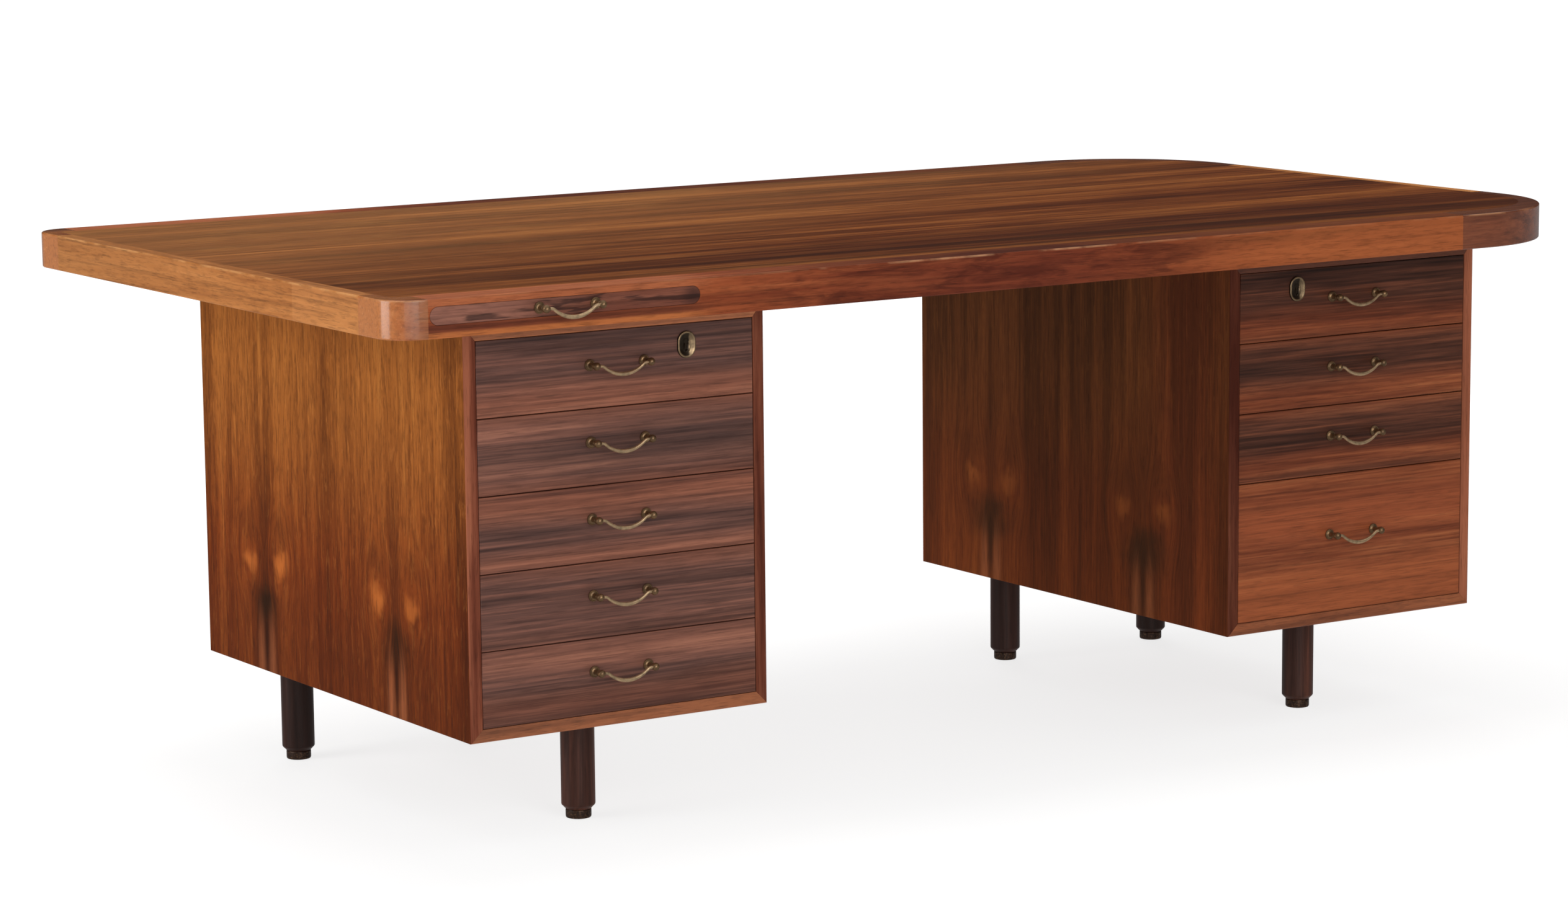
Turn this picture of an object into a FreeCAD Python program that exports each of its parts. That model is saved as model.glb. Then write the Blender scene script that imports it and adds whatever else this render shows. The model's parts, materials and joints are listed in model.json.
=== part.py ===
import FreeCAD, Part
import math
import os
import types
import Sketcher

# A writing desk: a thick lipped top with a pull-out leaf, on two cases of drawers with turned legs.
# Millimetres. +Z is up, the drawers face -Y, and the origin is on the floor under the middle of the desk.

os.makedirs("parts", exist_ok=True)
document = FreeCAD.newDocument("desk")
sheet = document.addObject("Spreadsheet::Sheet", "sizes")

SIZES = {
    # the whole desk
    "desk_length": 1950,
    "desk_depth": 1074,
    "desk_height": 725,
    # the top: two sheets on a core, framed by solid lippings, with rounder corners on the right
    "top_thickness": 49,
    "top_sheet": 6,
    "under_sheet": 6,
    "long_lipping": 45,
    "end_lipping": 22,
    "left_corner_radius": 45,
    "left_inner_radius": 12,
    "left_block_straight": 3,
    "left_block_end_straight": 45,
    "right_corner_radius": 210,
    "right_inner_radius": 170,
    "right_block_straight": 49,
    "right_block_end_straight": 40,
    "left_end_splice": 268,
    # the two cases of drawers
    "pedestal_width": 442,
    "pedestal_depth": 750,
    "end_overhang": 150,
    "front_overhang": 101,
    "case_panel": 17,
    "case_top_panel": 21,
    "case_back_panel": 9,
    # the legs, turned, with a tenon into the case and a glide under the foot
    "leg_height": 145,
    "leg_diameter": 45,
    "foot_diameter": 34,
    "foot_bevel": 6,
    "tenon_diameter": 20,
    "tenon_length": 12,
    "tenon_clearance": 0.3,
    "glide_height": 12,
    "glide_edge": 2,
    "glide_pin_diameter": 6,
    "glide_pin_length": 15,
    "glide_pin_clearance": 0.3,
    "leg_side_inset": 81,
    "leg_front_inset": 116,
    "leg_back_inset": 103,
    # the drawers
    "drawer_gap": 1.2,
    "drawer_side_gap": 0.8,
    "front_board": 20,
    "box_side": 13,
    "box_back": 12,
    "box_bottom": 6,
    "box_length": 640,
    "box_rise": 5,
    "box_headroom": 9,
    "box_side_gap": 1,
    "bottom_rise": 8,
    "bottom_groove": 5,
    "bottom_play": 0.2,
    # the wooden runners that the drawer sides hang on
    "runner_height": 15,
    "runner_engagement": 6.5,
    "runner_play": 0.5,
    "runner_setback": 1,
    "runner_length": 620,
    # the brass pulls: two posts with ball heads and a bail hung between them
    "pull_share": 0.435,
    "post_spacing": 80,
    "post_reach": 18,
    "post_head": 10.5,
    "post_stem": 7,
    "rosette_diameter": 15,
    "rosette_thickness": 2.5,
    "rosette_bevel": 1,
    "shank_diameter": 5,
    "shank_length": 15,
    "shank_clearance": 0.3,
    "bail_rod": 4,
    "bail_drop": 12.5,
    "bail_bend": 8,
    "bail_shoulder": 1,
    "pin_clearance": 0.05,
    "pin_setback": 1,
    # the locks of the two top drawers
    "lock_inset": 100,
    "lock_drop": 27,
    "lock_width": 40,
    "lock_height": 46,
    "lock_depth": 12,
    "lock_clearance": 0.3,
    "escutcheon_width": 27,
    "escutcheon_height": 35,
    "escutcheon_thickness": 2.6,
    "escutcheon_rim": 4,
    "escutcheon_recess": 1.2,
    "keyhole_diameter": 6.5,
    "keyhole_slot": 3.2,
    "keyhole_length": 14,
    "keyhole_depth": 8,
    "bolt_width": 12,
    "bolt_thickness": 5,
    "bolt_height": 18,
    "bolt_play": 0.2,
    "bolt_setback": 0.5,
    "bolt_throw": 8,
    "mortise_play": 1,
    # the pull-out leaf in the front edge of the top
    "leaf_slot_length": 384,
    "leaf_slot_height": 23,
    "leaf_drop": 21,
    "leaf_margin": 5,
    "leaf_play": 0.4,
    "leaf_strip": 20,
    "leaf_board": 16,
    "leaf_board_length": 470,
    "leaf_board_inset": 4,
    "leaf_cleat_length": 30,
    "leaf_cleat_wing": 20,
    "leaf_guide_play": 0.5,
    "leaf_runner_width": 45,
    "leaf_pocket_spare": 10,
}


class Size:
    """A length held as a number and as the sheet formula that gives it."""

    def __init__(self, number, formula):
        self.number = number
        self.formula = formula

    def __add__(self, other):
        other = as_size(other)
        return Size(self.number + other.number, "(%s + %s)" % (self.formula, other.formula))

    def __sub__(self, other):
        other = as_size(other)
        return Size(self.number - other.number, "(%s - %s)" % (self.formula, other.formula))

    def __mul__(self, other):
        other = as_size(other)
        return Size(self.number * other.number, "(%s * %s)" % (self.formula, other.formula))

    def __truediv__(self, other):
        other = as_size(other)
        return Size(self.number / other.number, "(%s / %s)" % (self.formula, other.formula))

    def __rsub__(self, other):
        return as_size(other) - self

    def __neg__(self):
        return Size(-self.number, "(0 - %s)" % self.formula)

    __radd__ = __add__
    __rmul__ = __mul__


def as_size(value):
    return value if isinstance(value, Size) else Size(value, repr(value))


def square_root(size):
    return Size(math.sqrt(size.number), "sqrt(%s)" % size.formula)


desk = types.SimpleNamespace()
for row, (alias, number) in enumerate(SIZES.items(), 1):
    sheet.set("A%d" % row, alias)
    sheet.set("B%d" % row, str(number))
    sheet.setAlias("B%d" % row, alias)
    setattr(desk, alias, Size(number, "sizes." + alias))
document.recompute()


def bind(thing, name, value):
    """Tie one property of a document object to the sheet."""
    thing.setExpression(name, as_size(value).formula)


def place(thing, x, y, z):
    bind(thing, "Placement.Base.x", x)
    bind(thing, "Placement.Base.y", y)
    bind(thing, "Placement.Base.z", z)
    return thing


def board(name, length, width, height, x, y, z):
    """A plain rectangular board with its low corner at x, y, z."""
    thing = document.addObject("Part::Box", name)
    bind(thing, "Length", length)
    bind(thing, "Width", width)
    bind(thing, "Height", height)
    return place(thing, x, y, z)


def group(name, pieces):
    """Several separate solids under one name."""
    thing = document.addObject("Part::Compound", name)
    thing.Links = pieces
    return thing


def new_body(name):
    return document.addObject("PartDesign::Body", name)


def new_sketch(body, role, lift=0):
    """A sketch on one of the body's origin planes, or lifted off it along its normal."""
    sketch = body.newObject("Sketcher::SketchObject", body.Name + "_sketch")
    plane = [item for item in body.Origin.OriginFeatures if item.Role == role][0]
    sketch.AttachmentSupport = (plane, [""])
    sketch.MapMode = "FlatFace"
    if as_size(lift).number:
        bind(sketch, "AttachmentOffset.Base.z", lift)
    return sketch


def tie_point(sketch, item, end, point):
    """Hold one sketch point at its sheet position from the sketch origin."""
    across, up = as_size(point[0]), as_size(point[1])
    if across.number == 0 and up.number == 0:
        sketch.addConstraint(Sketcher.Constraint("Coincident", item, end, -1, 1))
        return
    for kind, axis, size in (("DistanceX", -2, across), ("DistanceY", -1, up)):
        if size.number == 0:
            sketch.addConstraint(Sketcher.Constraint("PointOnObject", item, end, axis))
        else:
            tie_value(sketch, Sketcher.Constraint(kind, -1, 1, item, end, size.number), size)


def tie_value(sketch, constraint, size):
    index = sketch.addConstraint(constraint)
    name = "size%d" % index
    sketch.renameConstraint(index, name)
    bind(sketch, "Constraints." + name, size)


def flat(point):
    return FreeCAD.Vector(as_size(point[0]).number, as_size(point[1]).number, 0)


def draw(sketch, start, steps, closed=True):
    """Draw lines and arcs from start. A step is (end,) or (end, centre, turn), turn 1 anticlockwise."""
    here = start
    ends = []
    for step in steps:
        there = step[0]
        if len(step) == 1:
            item = sketch.addGeometry(Part.LineSegment(flat(here), flat(there)))
            ends.append((item, 1, 2))
        else:
            centre, turn = step[1], step[2]
            first, last = (here, there) if turn > 0 else (there, here)
            spoke = flat(first) - flat(centre)
            start_angle = math.atan2(spoke.y, spoke.x)
            spoke_end = flat(last) - flat(centre)
            end_angle = math.atan2(spoke_end.y, spoke_end.x)
            if end_angle <= start_angle:
                end_angle += 2 * math.pi
            circle = Part.Circle(flat(centre), FreeCAD.Vector(0, 0, 1), spoke.Length)
            item = sketch.addGeometry(Part.ArcOfCircle(circle, start_angle, end_angle))
            ends.append((item, 1, 2) if turn > 0 else (item, 2, 1))
        here = there
    points = [start] + [step[0] for step in steps]
    for number, (item, near, far) in enumerate(ends):
        tie_point(sketch, item, near, points[number])
        if number + 1 < len(ends):
            sketch.addConstraint(Sketcher.Constraint("Coincident", item, far, ends[number + 1][0],
                                                     ends[number + 1][1]))
        elif closed:
            sketch.addConstraint(Sketcher.Constraint("Coincident", item, far, ends[0][0], ends[0][1]))
        else:
            tie_point(sketch, item, far, points[number + 1])
    for step, (item, near, far), corner in zip(steps, ends, points):
        if len(step) > 1:
            tie_centre(sketch, item, step[1], flat(step[0]) - flat(corner))


def tie_centre(sketch, item, centre, chord):
    """An arc between two held ends needs one more value: its centre's place along the chord's normal."""
    if abs(chord.y) > abs(chord.x):
        kind, axis, size = "DistanceX", -2, as_size(centre[0])
    else:
        kind, axis, size = "DistanceY", -1, as_size(centre[1])
    if size.number == 0:
        sketch.addConstraint(Sketcher.Constraint("PointOnObject", item, 3, axis))
    else:
        tie_value(sketch, Sketcher.Constraint(kind, -1, 1, item, 3, size.number), size)


def polygon(sketch, corners):
    draw(sketch, corners[0], [(corner,) for corner in corners[1:]] + [(corners[0],)])


def rectangle(sketch, left, low, right, high):
    polygon(sketch, [(left, low), (right, low), (right, high), (left, high)])


def circle(sketch, centre, diameter):
    radius = diameter / 2
    item = sketch.addGeometry(Part.Circle(flat(centre), FreeCAD.Vector(0, 0, 1), radius.number))
    tie_point(sketch, item, 3, centre)
    tie_value(sketch, Sketcher.Constraint("Radius", item, radius.number), radius)


def level_slot(sketch, left, low, length, height):
    """A lying slot with half-round ends."""
    radius = height / 2
    right = left + length
    middle = low + radius
    draw(sketch, (left + radius, low), [
        ((right - radius, low),),
        ((right - radius, low + height), (right - radius, middle), 1),
        ((left + radius, low + height),),
        ((left + radius, low), (left + radius, middle), 1)])


def upright_slot(sketch, middle, low, width, height):
    """A standing slot with half-round ends."""
    radius = width / 2
    draw(sketch, (middle + radius, low + radius), [
        ((middle + radius, low + height - radius),),
        ((middle - radius, low + height - radius), (middle, low + height - radius), 1),
        ((middle - radius, low + radius),),
        ((middle + radius, low + radius), (middle, low + radius), 1)])


def keyhole(sketch, middle, low):
    """A round hole with a narrower slot below it."""
    radius = desk.keyhole_diameter / 2
    half_slot = desk.keyhole_slot / 2
    round_centre = low + desk.keyhole_length - radius
    shoulder = round_centre - square_root(radius * radius - half_slot * half_slot)
    draw(sketch, (middle - half_slot, low), [
        ((middle + half_slot, low),),
        ((middle + half_slot, shoulder),),
        ((middle - half_slot, shoulder), (middle, round_centre), 1),
        ((middle - half_slot, low),)])


def pad(body, sketch, length, backwards=False):
    feature = body.newObject("PartDesign::Pad", body.Name + "_pad")
    feature.Profile = sketch
    bind(feature, "Length", length)
    feature.Reversed = backwards
    sketch.Visibility = False
    return feature


def pocket(body, sketch, depth, backwards=False):
    feature = body.newObject("PartDesign::Pocket", body.Name + "_pocket")
    feature.Profile = sketch
    bind(feature, "Length", depth)
    feature.Reversed = backwards
    sketch.Visibility = False
    return feature


def turned(body, outline):
    """Turn a profile of radius and height about the body's own Z axis."""
    sketch = new_sketch(body, "XZ_Plane")
    draw(sketch, outline[0], outline[1])
    feature = body.newObject("PartDesign::Revolution", body.Name + "_turning")
    feature.Profile = sketch
    feature.ReferenceAxis = (sketch, ["V_Axis"])
    feature.Angle = 360
    sketch.Visibility = False
    return feature


def long_board(name, corners, length, x, y, z):
    """A board of constant section, drawn as seen from the front and running back from y."""
    body = new_body(name)
    sketch = new_sketch(body, "XZ_Plane")
    polygon(sketch, corners)
    pad(body, sketch, length, True)
    return place(body, x, y, z)


def rounded_board(name, length, width, height, left_radius, right_radius, x, y, z):
    """A flat board with rounded corners at its left and right ends; a radius of 0 leaves them square."""
    body = new_body(name)
    sketch = new_sketch(body, "XY_Plane")
    left, right = as_size(left_radius), as_size(right_radius)
    steps = [((length - right, 0),)]
    if right.number:
        steps.append(((length, right), (length - right, right), 1))
    steps.append(((length, width - right),))
    if right.number:
        steps.append(((length - right, width), (length - right, width - right), 1))
    steps.append(((left, width),))
    if left.number:
        steps.append(((0, width - left), (left, width - left), 1))
    steps.append(((0, left),))
    if left.number:
        steps.append(((left, 0), (left, left), 1))
    draw(sketch, (left, 0), steps)
    pad(body, sketch, height)
    return place(body, x, y, z)


nodes = []


def add_node(thing, name):
    thing.Label = name
    nodes.append(thing)
    return thing


# Reference positions that several pieces share.
pull_reach = desk.post_reach + desk.post_head / 2
top_front = pull_reach / 2 - desk.desk_depth / 2
top_back = top_front + desk.desk_depth
left_end = -desk.desk_length / 2
right_end = desk.desk_length / 2
top_low = desk.desk_height - desk.top_thickness
case_front = top_front + desk.front_overhang
case_height = top_low - desk.leg_height
case_left = {
    "left": left_end + desk.end_overhang,
    "right": right_end - desk.end_overhang - desk.pedestal_width,
}
opening_width = desk.pedestal_width - 2 * desk.case_panel
opening_top = top_low - desk.case_top_panel
drawer_unit = (case_height - desk.case_panel - desk.case_top_panel) / 5
front_width = opening_width - 2 * desk.drawer_side_gap
lock_across = {"left": front_width - desk.lock_inset, "right": desk.lock_inset}

# The top: an upper and a lower sheet glued to a core. The core leaves a pocket behind the front lipping
# for the pull-out leaf, and strips above and below the leaf keep it level.
inner_length = desk.desk_length - 2 * desk.end_lipping
inner_depth = desk.desk_depth - 2 * desk.long_lipping
inner_left = left_end + desk.end_lipping
inner_front = top_front + desk.long_lipping
add_node(rounded_board("top_panel", inner_length, inner_depth, desk.top_sheet,
                       desk.left_inner_radius, desk.right_inner_radius,
                       inner_left, inner_front, desk.desk_height - desk.top_sheet), "top_panel")
add_node(rounded_board("top_underside", inner_length, inner_depth, desk.under_sheet,
                       desk.left_inner_radius, desk.right_inner_radius,
                       inner_left, inner_front, top_low), "top_underside")

core_low = top_low + desk.under_sheet
core_height = desk.top_thickness - desk.under_sheet - desk.top_sheet
leaf_left = left_end + desk.left_corner_radius + desk.leaf_margin
leaf_middle = leaf_left + desk.leaf_slot_length / 2
leaf_level = desk.desk_height - desk.leaf_drop
leaf_board_width = desk.leaf_slot_length - desk.leaf_slot_height - 2 * desk.leaf_board_inset
leaf_cleat_width = leaf_board_width + 2 * desk.leaf_cleat_wing
leaf_pocket_width = leaf_cleat_width + 2 * desk.leaf_guide_play
leaf_pocket_left = leaf_middle - leaf_pocket_width / 2
leaf_pocket_depth = (desk.leaf_strip + desk.leaf_board_length + desk.leaf_pocket_spare
                     - desk.long_lipping)
leaf_pocket_back = inner_front + leaf_pocket_depth
core_blocks = [
    rounded_board("left_core", leaf_pocket_left - inner_left, inner_depth, core_height,
                  desk.left_inner_radius, 0, inner_left, inner_front, core_low),
    rounded_board("right_core", inner_left + inner_length - leaf_pocket_left - leaf_pocket_width,
                  inner_depth, core_height, 0, desk.right_inner_radius,
                  leaf_pocket_left + leaf_pocket_width, inner_front, core_low),
    board("back_core", leaf_pocket_width, inner_depth - leaf_pocket_depth, core_height,
          leaf_pocket_left, leaf_pocket_back, core_low),
]
add_node(group("top_core", core_blocks), "top_core")

leaf_underside = leaf_level - desk.leaf_board / 2
leaf_upside = leaf_level + desk.leaf_board / 2
leaf_strips = []
for side, strip_left in (("left", leaf_pocket_left),
                         ("right", leaf_pocket_left + leaf_pocket_width - desk.leaf_runner_width)):
    leaf_strips.append(board(side + "_leaf_runner", desk.leaf_runner_width, leaf_pocket_depth,
                             leaf_underside - desk.leaf_guide_play - core_low,
                             strip_left, inner_front, core_low))
    leaf_strips.append(board(side + "_leaf_kicker", desk.leaf_runner_width, leaf_pocket_depth,
                             core_low + core_height - leaf_upside - desk.leaf_guide_play,
                             strip_left, inner_front, leaf_upside + desk.leaf_guide_play))
add_node(group("leaf_runners", leaf_strips), "leaf_runners")

# Solid lippings frame the sheets. The front one is cut through by the round-ended slot of the leaf.
left_arm = desk.left_corner_radius + desk.left_block_straight
right_arm = desk.right_corner_radius + desk.right_block_straight
left_end_arm = desk.left_corner_radius + desk.left_block_end_straight
right_end_arm = desk.right_corner_radius + desk.right_block_end_straight
lipping_left = left_end + left_arm
lipping_length = desk.desk_length - left_arm - right_arm
front_lipping = new_body("front_lipping")
lipping_sketch = new_sketch(front_lipping, "XZ_Plane")
rectangle(lipping_sketch, 0, 0, lipping_length, desk.top_thickness)
pad(front_lipping, lipping_sketch, desk.long_lipping, True)
document.recompute()
slot_sketch = new_sketch(front_lipping, "XZ_Plane")
level_slot(slot_sketch, leaf_left - lipping_left, leaf_level - desk.leaf_slot_height / 2 - top_low,
           desk.leaf_slot_length, desk.leaf_slot_height)
pocket(front_lipping, slot_sketch, desk.long_lipping)
add_node(place(front_lipping, lipping_left, top_front, top_low), "front_lipping")
add_node(board("back_lipping", lipping_length, desk.long_lipping, desk.top_thickness,
               lipping_left, top_back - desk.long_lipping, top_low), "back_lipping")
# The left end lipping is in two lengths, butted together.
add_node(group("end_lippings", [
    board("left_end_lipping_front", desk.end_lipping, desk.left_end_splice - left_end_arm,
          desk.top_thickness, left_end, top_front + left_end_arm, top_low),
    board("left_end_lipping_back", desk.end_lipping, desk.desk_depth - desk.left_end_splice - left_end_arm,
          desk.top_thickness, left_end, top_front + desk.left_end_splice, top_low),
    board("right_end_lipping", desk.end_lipping, desk.desk_depth - 2 * right_end_arm, desk.top_thickness,
          right_end - desk.end_lipping, top_front + right_end_arm, top_low),
]), "end_lippings")


def corner_block(name, on_right, on_back):
    """A solid corner, rounded outside and inside; drawn for the front left and flipped for the others."""
    body = new_body(name)
    radius = desk.right_corner_radius if on_right else desk.left_corner_radius
    inner_radius = desk.right_inner_radius if on_right else desk.left_inner_radius
    arm = right_arm if on_right else left_arm
    end_arm = right_end_arm if on_right else left_end_arm
    inner_across = desk.end_lipping + inner_radius
    inner_along = desk.long_lipping + inner_radius

    def spot(across, along):
        return (arm - across if on_right else across, end_arm - along if on_back else along)

    turn = -1 if on_right != on_back else 1
    draw(new_sketch(body, "XY_Plane"), spot(radius, 0), [
        (spot(arm, 0),),
        (spot(arm, desk.long_lipping),),
        (spot(inner_across, desk.long_lipping),),
        (spot(desk.end_lipping, inner_along), spot(inner_across, inner_along), -turn),
        (spot(desk.end_lipping, end_arm),),
        (spot(0, end_arm),),
        (spot(0, radius),),
        (spot(radius, 0), spot(radius, radius), turn)])
    pad(body, body.Group[-1], desk.top_thickness)
    x = right_end - arm if on_right else left_end
    y = top_back - end_arm if on_back else top_front
    return place(body, x, y, top_low)


add_node(group("corner_blocks", [
    corner_block("front_left_block", False, False),
    corner_block("front_right_block", True, False),
    corner_block("back_left_block", False, True),
    corner_block("back_right_block", True, True),
]), "corner_blocks")

# The cases: veneered boards mitred at the corners, with a thin back let in between them.
case_sides = []
case_tops = []
case_bottoms = []
case_backs = []
for side in ("left", "right"):
    x = case_left[side]
    inner_high = case_height - desk.case_top_panel
    case_sides.append(long_board(
        side + "_case_left_side",
        [(0, 0), (desk.case_panel, desk.case_panel), (desk.case_panel, inner_high), (0, case_height)],
        desk.pedestal_depth, x, case_front, desk.leg_height))
    case_sides.append(long_board(
        side + "_case_right_side",
        [(desk.case_panel, 0), (desk.case_panel, case_height), (0, inner_high), (0, desk.case_panel)],
        desk.pedestal_depth, x + desk.pedestal_width - desk.case_panel, case_front, desk.leg_height))

    # The bottom is bored from below for the tenons of three legs.
    bottom = long_board(
        side + "_case_bottom",
        [(0, 0), (desk.pedestal_width, 0), (desk.pedestal_width - desk.case_panel, desk.case_panel),
         (desk.case_panel, desk.case_panel)],
        desk.pedestal_depth, x, case_front, desk.leg_height)
    document.recompute()
    bore_sketch = new_sketch(bottom, "XY_Plane")
    leg_spots = [
        (desk.pedestal_width / 2, desk.leg_front_inset),
        (desk.leg_side_inset, desk.pedestal_depth - desk.leg_back_inset),
        (desk.pedestal_width - desk.leg_side_inset, desk.pedestal_depth - desk.leg_back_inset),
    ]
    for spot in leg_spots:
        circle(bore_sketch, spot, desk.tenon_diameter + 2 * desk.tenon_clearance)
    pocket(bottom, bore_sketch, desk.tenon_length + desk.tenon_clearance, True)
    case_bottoms.append(bottom)

    # The top has a small mortise for the bolt of the lock in the drawer below it.
    top = long_board(
        side + "_case_top",
        [(desk.case_panel, 0), (desk.pedestal_width - desk.case_panel, 0),
         (desk.pedestal_width, desk.case_top_panel), (0, desk.case_top_panel)],
        desk.pedestal_depth, x, case_front, opening_top)
    document.recompute()
    mortise_sketch = new_sketch(top, "XY_Plane")
    bolt_across = desk.case_panel + desk.drawer_side_gap + lock_across[side]
    bolt_along = desk.front_board - desk.lock_depth / 2
    mortise_half_width = desk.bolt_width / 2 + desk.mortise_play
    mortise_half_depth = desk.bolt_thickness / 2 + desk.mortise_play
    rectangle(mortise_sketch, bolt_across - mortise_half_width, bolt_along - mortise_half_depth,
              bolt_across + mortise_half_width, bolt_along + mortise_half_depth)
    pocket(top, mortise_sketch, desk.bolt_throw + desk.mortise_play, True)
    case_tops.append(top)

    case_backs.append(board(
        side + "_case_back", opening_width, desk.case_back_panel, drawer_unit * 5,
        x + desk.case_panel, case_front + desk.pedestal_depth - desk.case_back_panel,
        desk.leg_height + desk.case_panel))
add_node(group("case_sides", case_sides), "case_sides")
add_node(group("case_tops", case_tops), "case_tops")
add_node(group("case_bottoms", case_bottoms), "case_bottoms")
add_node(group("case_backs", case_backs), "case_backs")

# The legs: plain turned cylinders, bevelled at the foot, with a glide pinned under each.
legs = []
glides = []
glide_pin_bore = desk.glide_pin_diameter / 2 + desk.glide_pin_clearance
glide_pin_top = desk.glide_pin_length + desk.glide_pin_clearance
leg_wood = desk.leg_height - desk.glide_height
for side in ("left", "right"):
    for number, spot in enumerate(leg_spots, 1):
        x = case_left[side] + spot[0]
        y = case_front + spot[1]
        leg = new_body("%s_leg_%d" % (side, number))
        turned(leg, ((glide_pin_bore, 0), [
            ((desk.foot_diameter / 2, 0),),
            ((desk.leg_diameter / 2, desk.foot_bevel),),
            ((desk.leg_diameter / 2, leg_wood),),
            ((desk.tenon_diameter / 2, leg_wood),),
            ((desk.tenon_diameter / 2, leg_wood + desk.tenon_length),),
            ((0, leg_wood + desk.tenon_length),),
            ((0, glide_pin_top),),
            ((glide_pin_bore, glide_pin_top),),
            ((glide_pin_bore, 0),)]))
        legs.append(place(leg, x, y, desk.glide_height))
        glide = new_body("%s_glide_%d" % (side, number))
        turned(glide, ((0, 0), [
            ((desk.foot_diameter / 2 - desk.glide_edge, 0),),
            ((desk.foot_diameter / 2, desk.glide_edge),),
            ((desk.foot_diameter / 2, desk.glide_height),),
            ((desk.glide_pin_diameter / 2, desk.glide_height),),
            ((desk.glide_pin_diameter / 2, desk.glide_height + desk.glide_pin_length),),
            ((0, desk.glide_height + desk.glide_pin_length),),
            ((0, 0),)]))
        glides.append(place(glide, x, y, 0))
add_node(group("legs", legs), "legs")
add_node(group("leg_glides", glides), "leg_glides")


def pull(name, middle, face, level):
    """Two brass posts screwed to a face and a bail that hangs from their heads, hinged on its own ends."""
    head_radius = desk.post_head / 2
    stem_radius = desk.post_stem / 2
    rosette_low = desk.shank_length
    rosette_high = rosette_low + desk.rosette_thickness
    head_centre = desk.shank_length + desk.post_reach
    neck = head_centre - square_root(head_radius * head_radius - stem_radius * stem_radius)
    posts = []
    for side, across in (("left", middle - desk.post_spacing / 2), ("right", middle + desk.post_spacing / 2)):
        post = new_body("%s_%s_post" % (name, side))
        turned(post, ((0, 0), [
            ((desk.shank_diameter / 2, 0),),
            ((desk.shank_diameter / 2, rosette_low),),
            ((desk.rosette_diameter / 2, rosette_low),),
            ((desk.rosette_diameter / 2, rosette_high - desk.rosette_bevel),),
            ((desk.rosette_diameter / 2 - desk.rosette_bevel, rosette_high),),
            ((stem_radius, rosette_high),),
            ((stem_radius, neck),),
            ((0, head_centre + head_radius), (0, head_centre), 1),
            ((0, 0),)]))
        document.recompute()
        bore = post.newObject("PartDesign::SubtractiveCylinder", post.Name + "_pin_bore")
        bore.AttachmentSupport = ([item for item in post.Origin.OriginFeatures
                                   if item.Role == "YZ_Plane"][0], [""])
        bore.MapMode = "FlatFace"
        bind(bore, "Radius", desk.bail_rod / 2 + desk.pin_clearance)
        bind(bore, "Height", 2 * desk.post_head)
        bind(bore, "AttachmentOffset.Base.y", head_centre)
        bind(bore, "AttachmentOffset.Base.z", -desk.post_head)
        post.Placement.Rotation = FreeCAD.Rotation(FreeCAD.Vector(1, 0, 0), 90)
        posts.append(place(post, across, face + desk.shank_length, level))
    add_node(group(name + "_pull_posts", posts), name + "_pull_posts")

    half_span = desk.post_spacing / 2 - head_radius - desk.bail_shoulder
    pin_end = desk.post_spacing / 2 + head_radius - desk.pin_setback
    slope = desk.bail_drop / half_span
    sine = 2 * slope / (1 + slope * slope)
    versine = 2 * slope * slope / (1 + slope * slope)
    bow_radius = half_span / sine - desk.bail_bend
    bend_start = pin_end - half_span
    bend_end = (bend_start + desk.bail_bend * sine, desk.bail_drop - desk.bail_bend * versine)
    bail = new_body(name + "_pull_bail")
    path = new_sketch(bail, "XZ_Plane")
    draw(path, (0, desk.bail_drop), [
        ((bend_start, desk.bail_drop),),
        (bend_end, (bend_start, desk.bail_drop - desk.bail_bend), -1),
        ((2 * pin_end - bend_end[0], bend_end[1]), (pin_end, bow_radius), 1),
        ((2 * pin_end - bend_start, desk.bail_drop),
         (2 * pin_end - bend_start, desk.bail_drop - desk.bail_bend), -1),
        ((2 * pin_end, desk.bail_drop),)], False)
    section = new_sketch(bail, "YZ_Plane")
    circle(section, (0, desk.bail_drop), desk.bail_rod)
    document.recompute()
    rod = bail.newObject("PartDesign::AdditivePipe", bail.Name + "_rod")
    rod.Profile = section
    rod.Spine = (path, ["Edge%d" % number for number in range(1, 6)])
    path.Visibility = False
    section.Visibility = False
    add_node(place(bail, middle - pin_end, face - desk.post_reach, level - desk.bail_drop),
             name + "_pull_bail")


def shank_bores(body, middle, level):
    """The two holes in a front for the shanks of the pull's posts."""
    document.recompute()
    sketch = new_sketch(body, "XZ_Plane")
    for across in (middle - desk.post_spacing / 2, middle + desk.post_spacing / 2):
        circle(sketch, (across, level), desk.shank_diameter + 2 * desk.shank_clearance)
    pocket(body, sketch, desk.shank_length + desk.shank_clearance)


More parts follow.
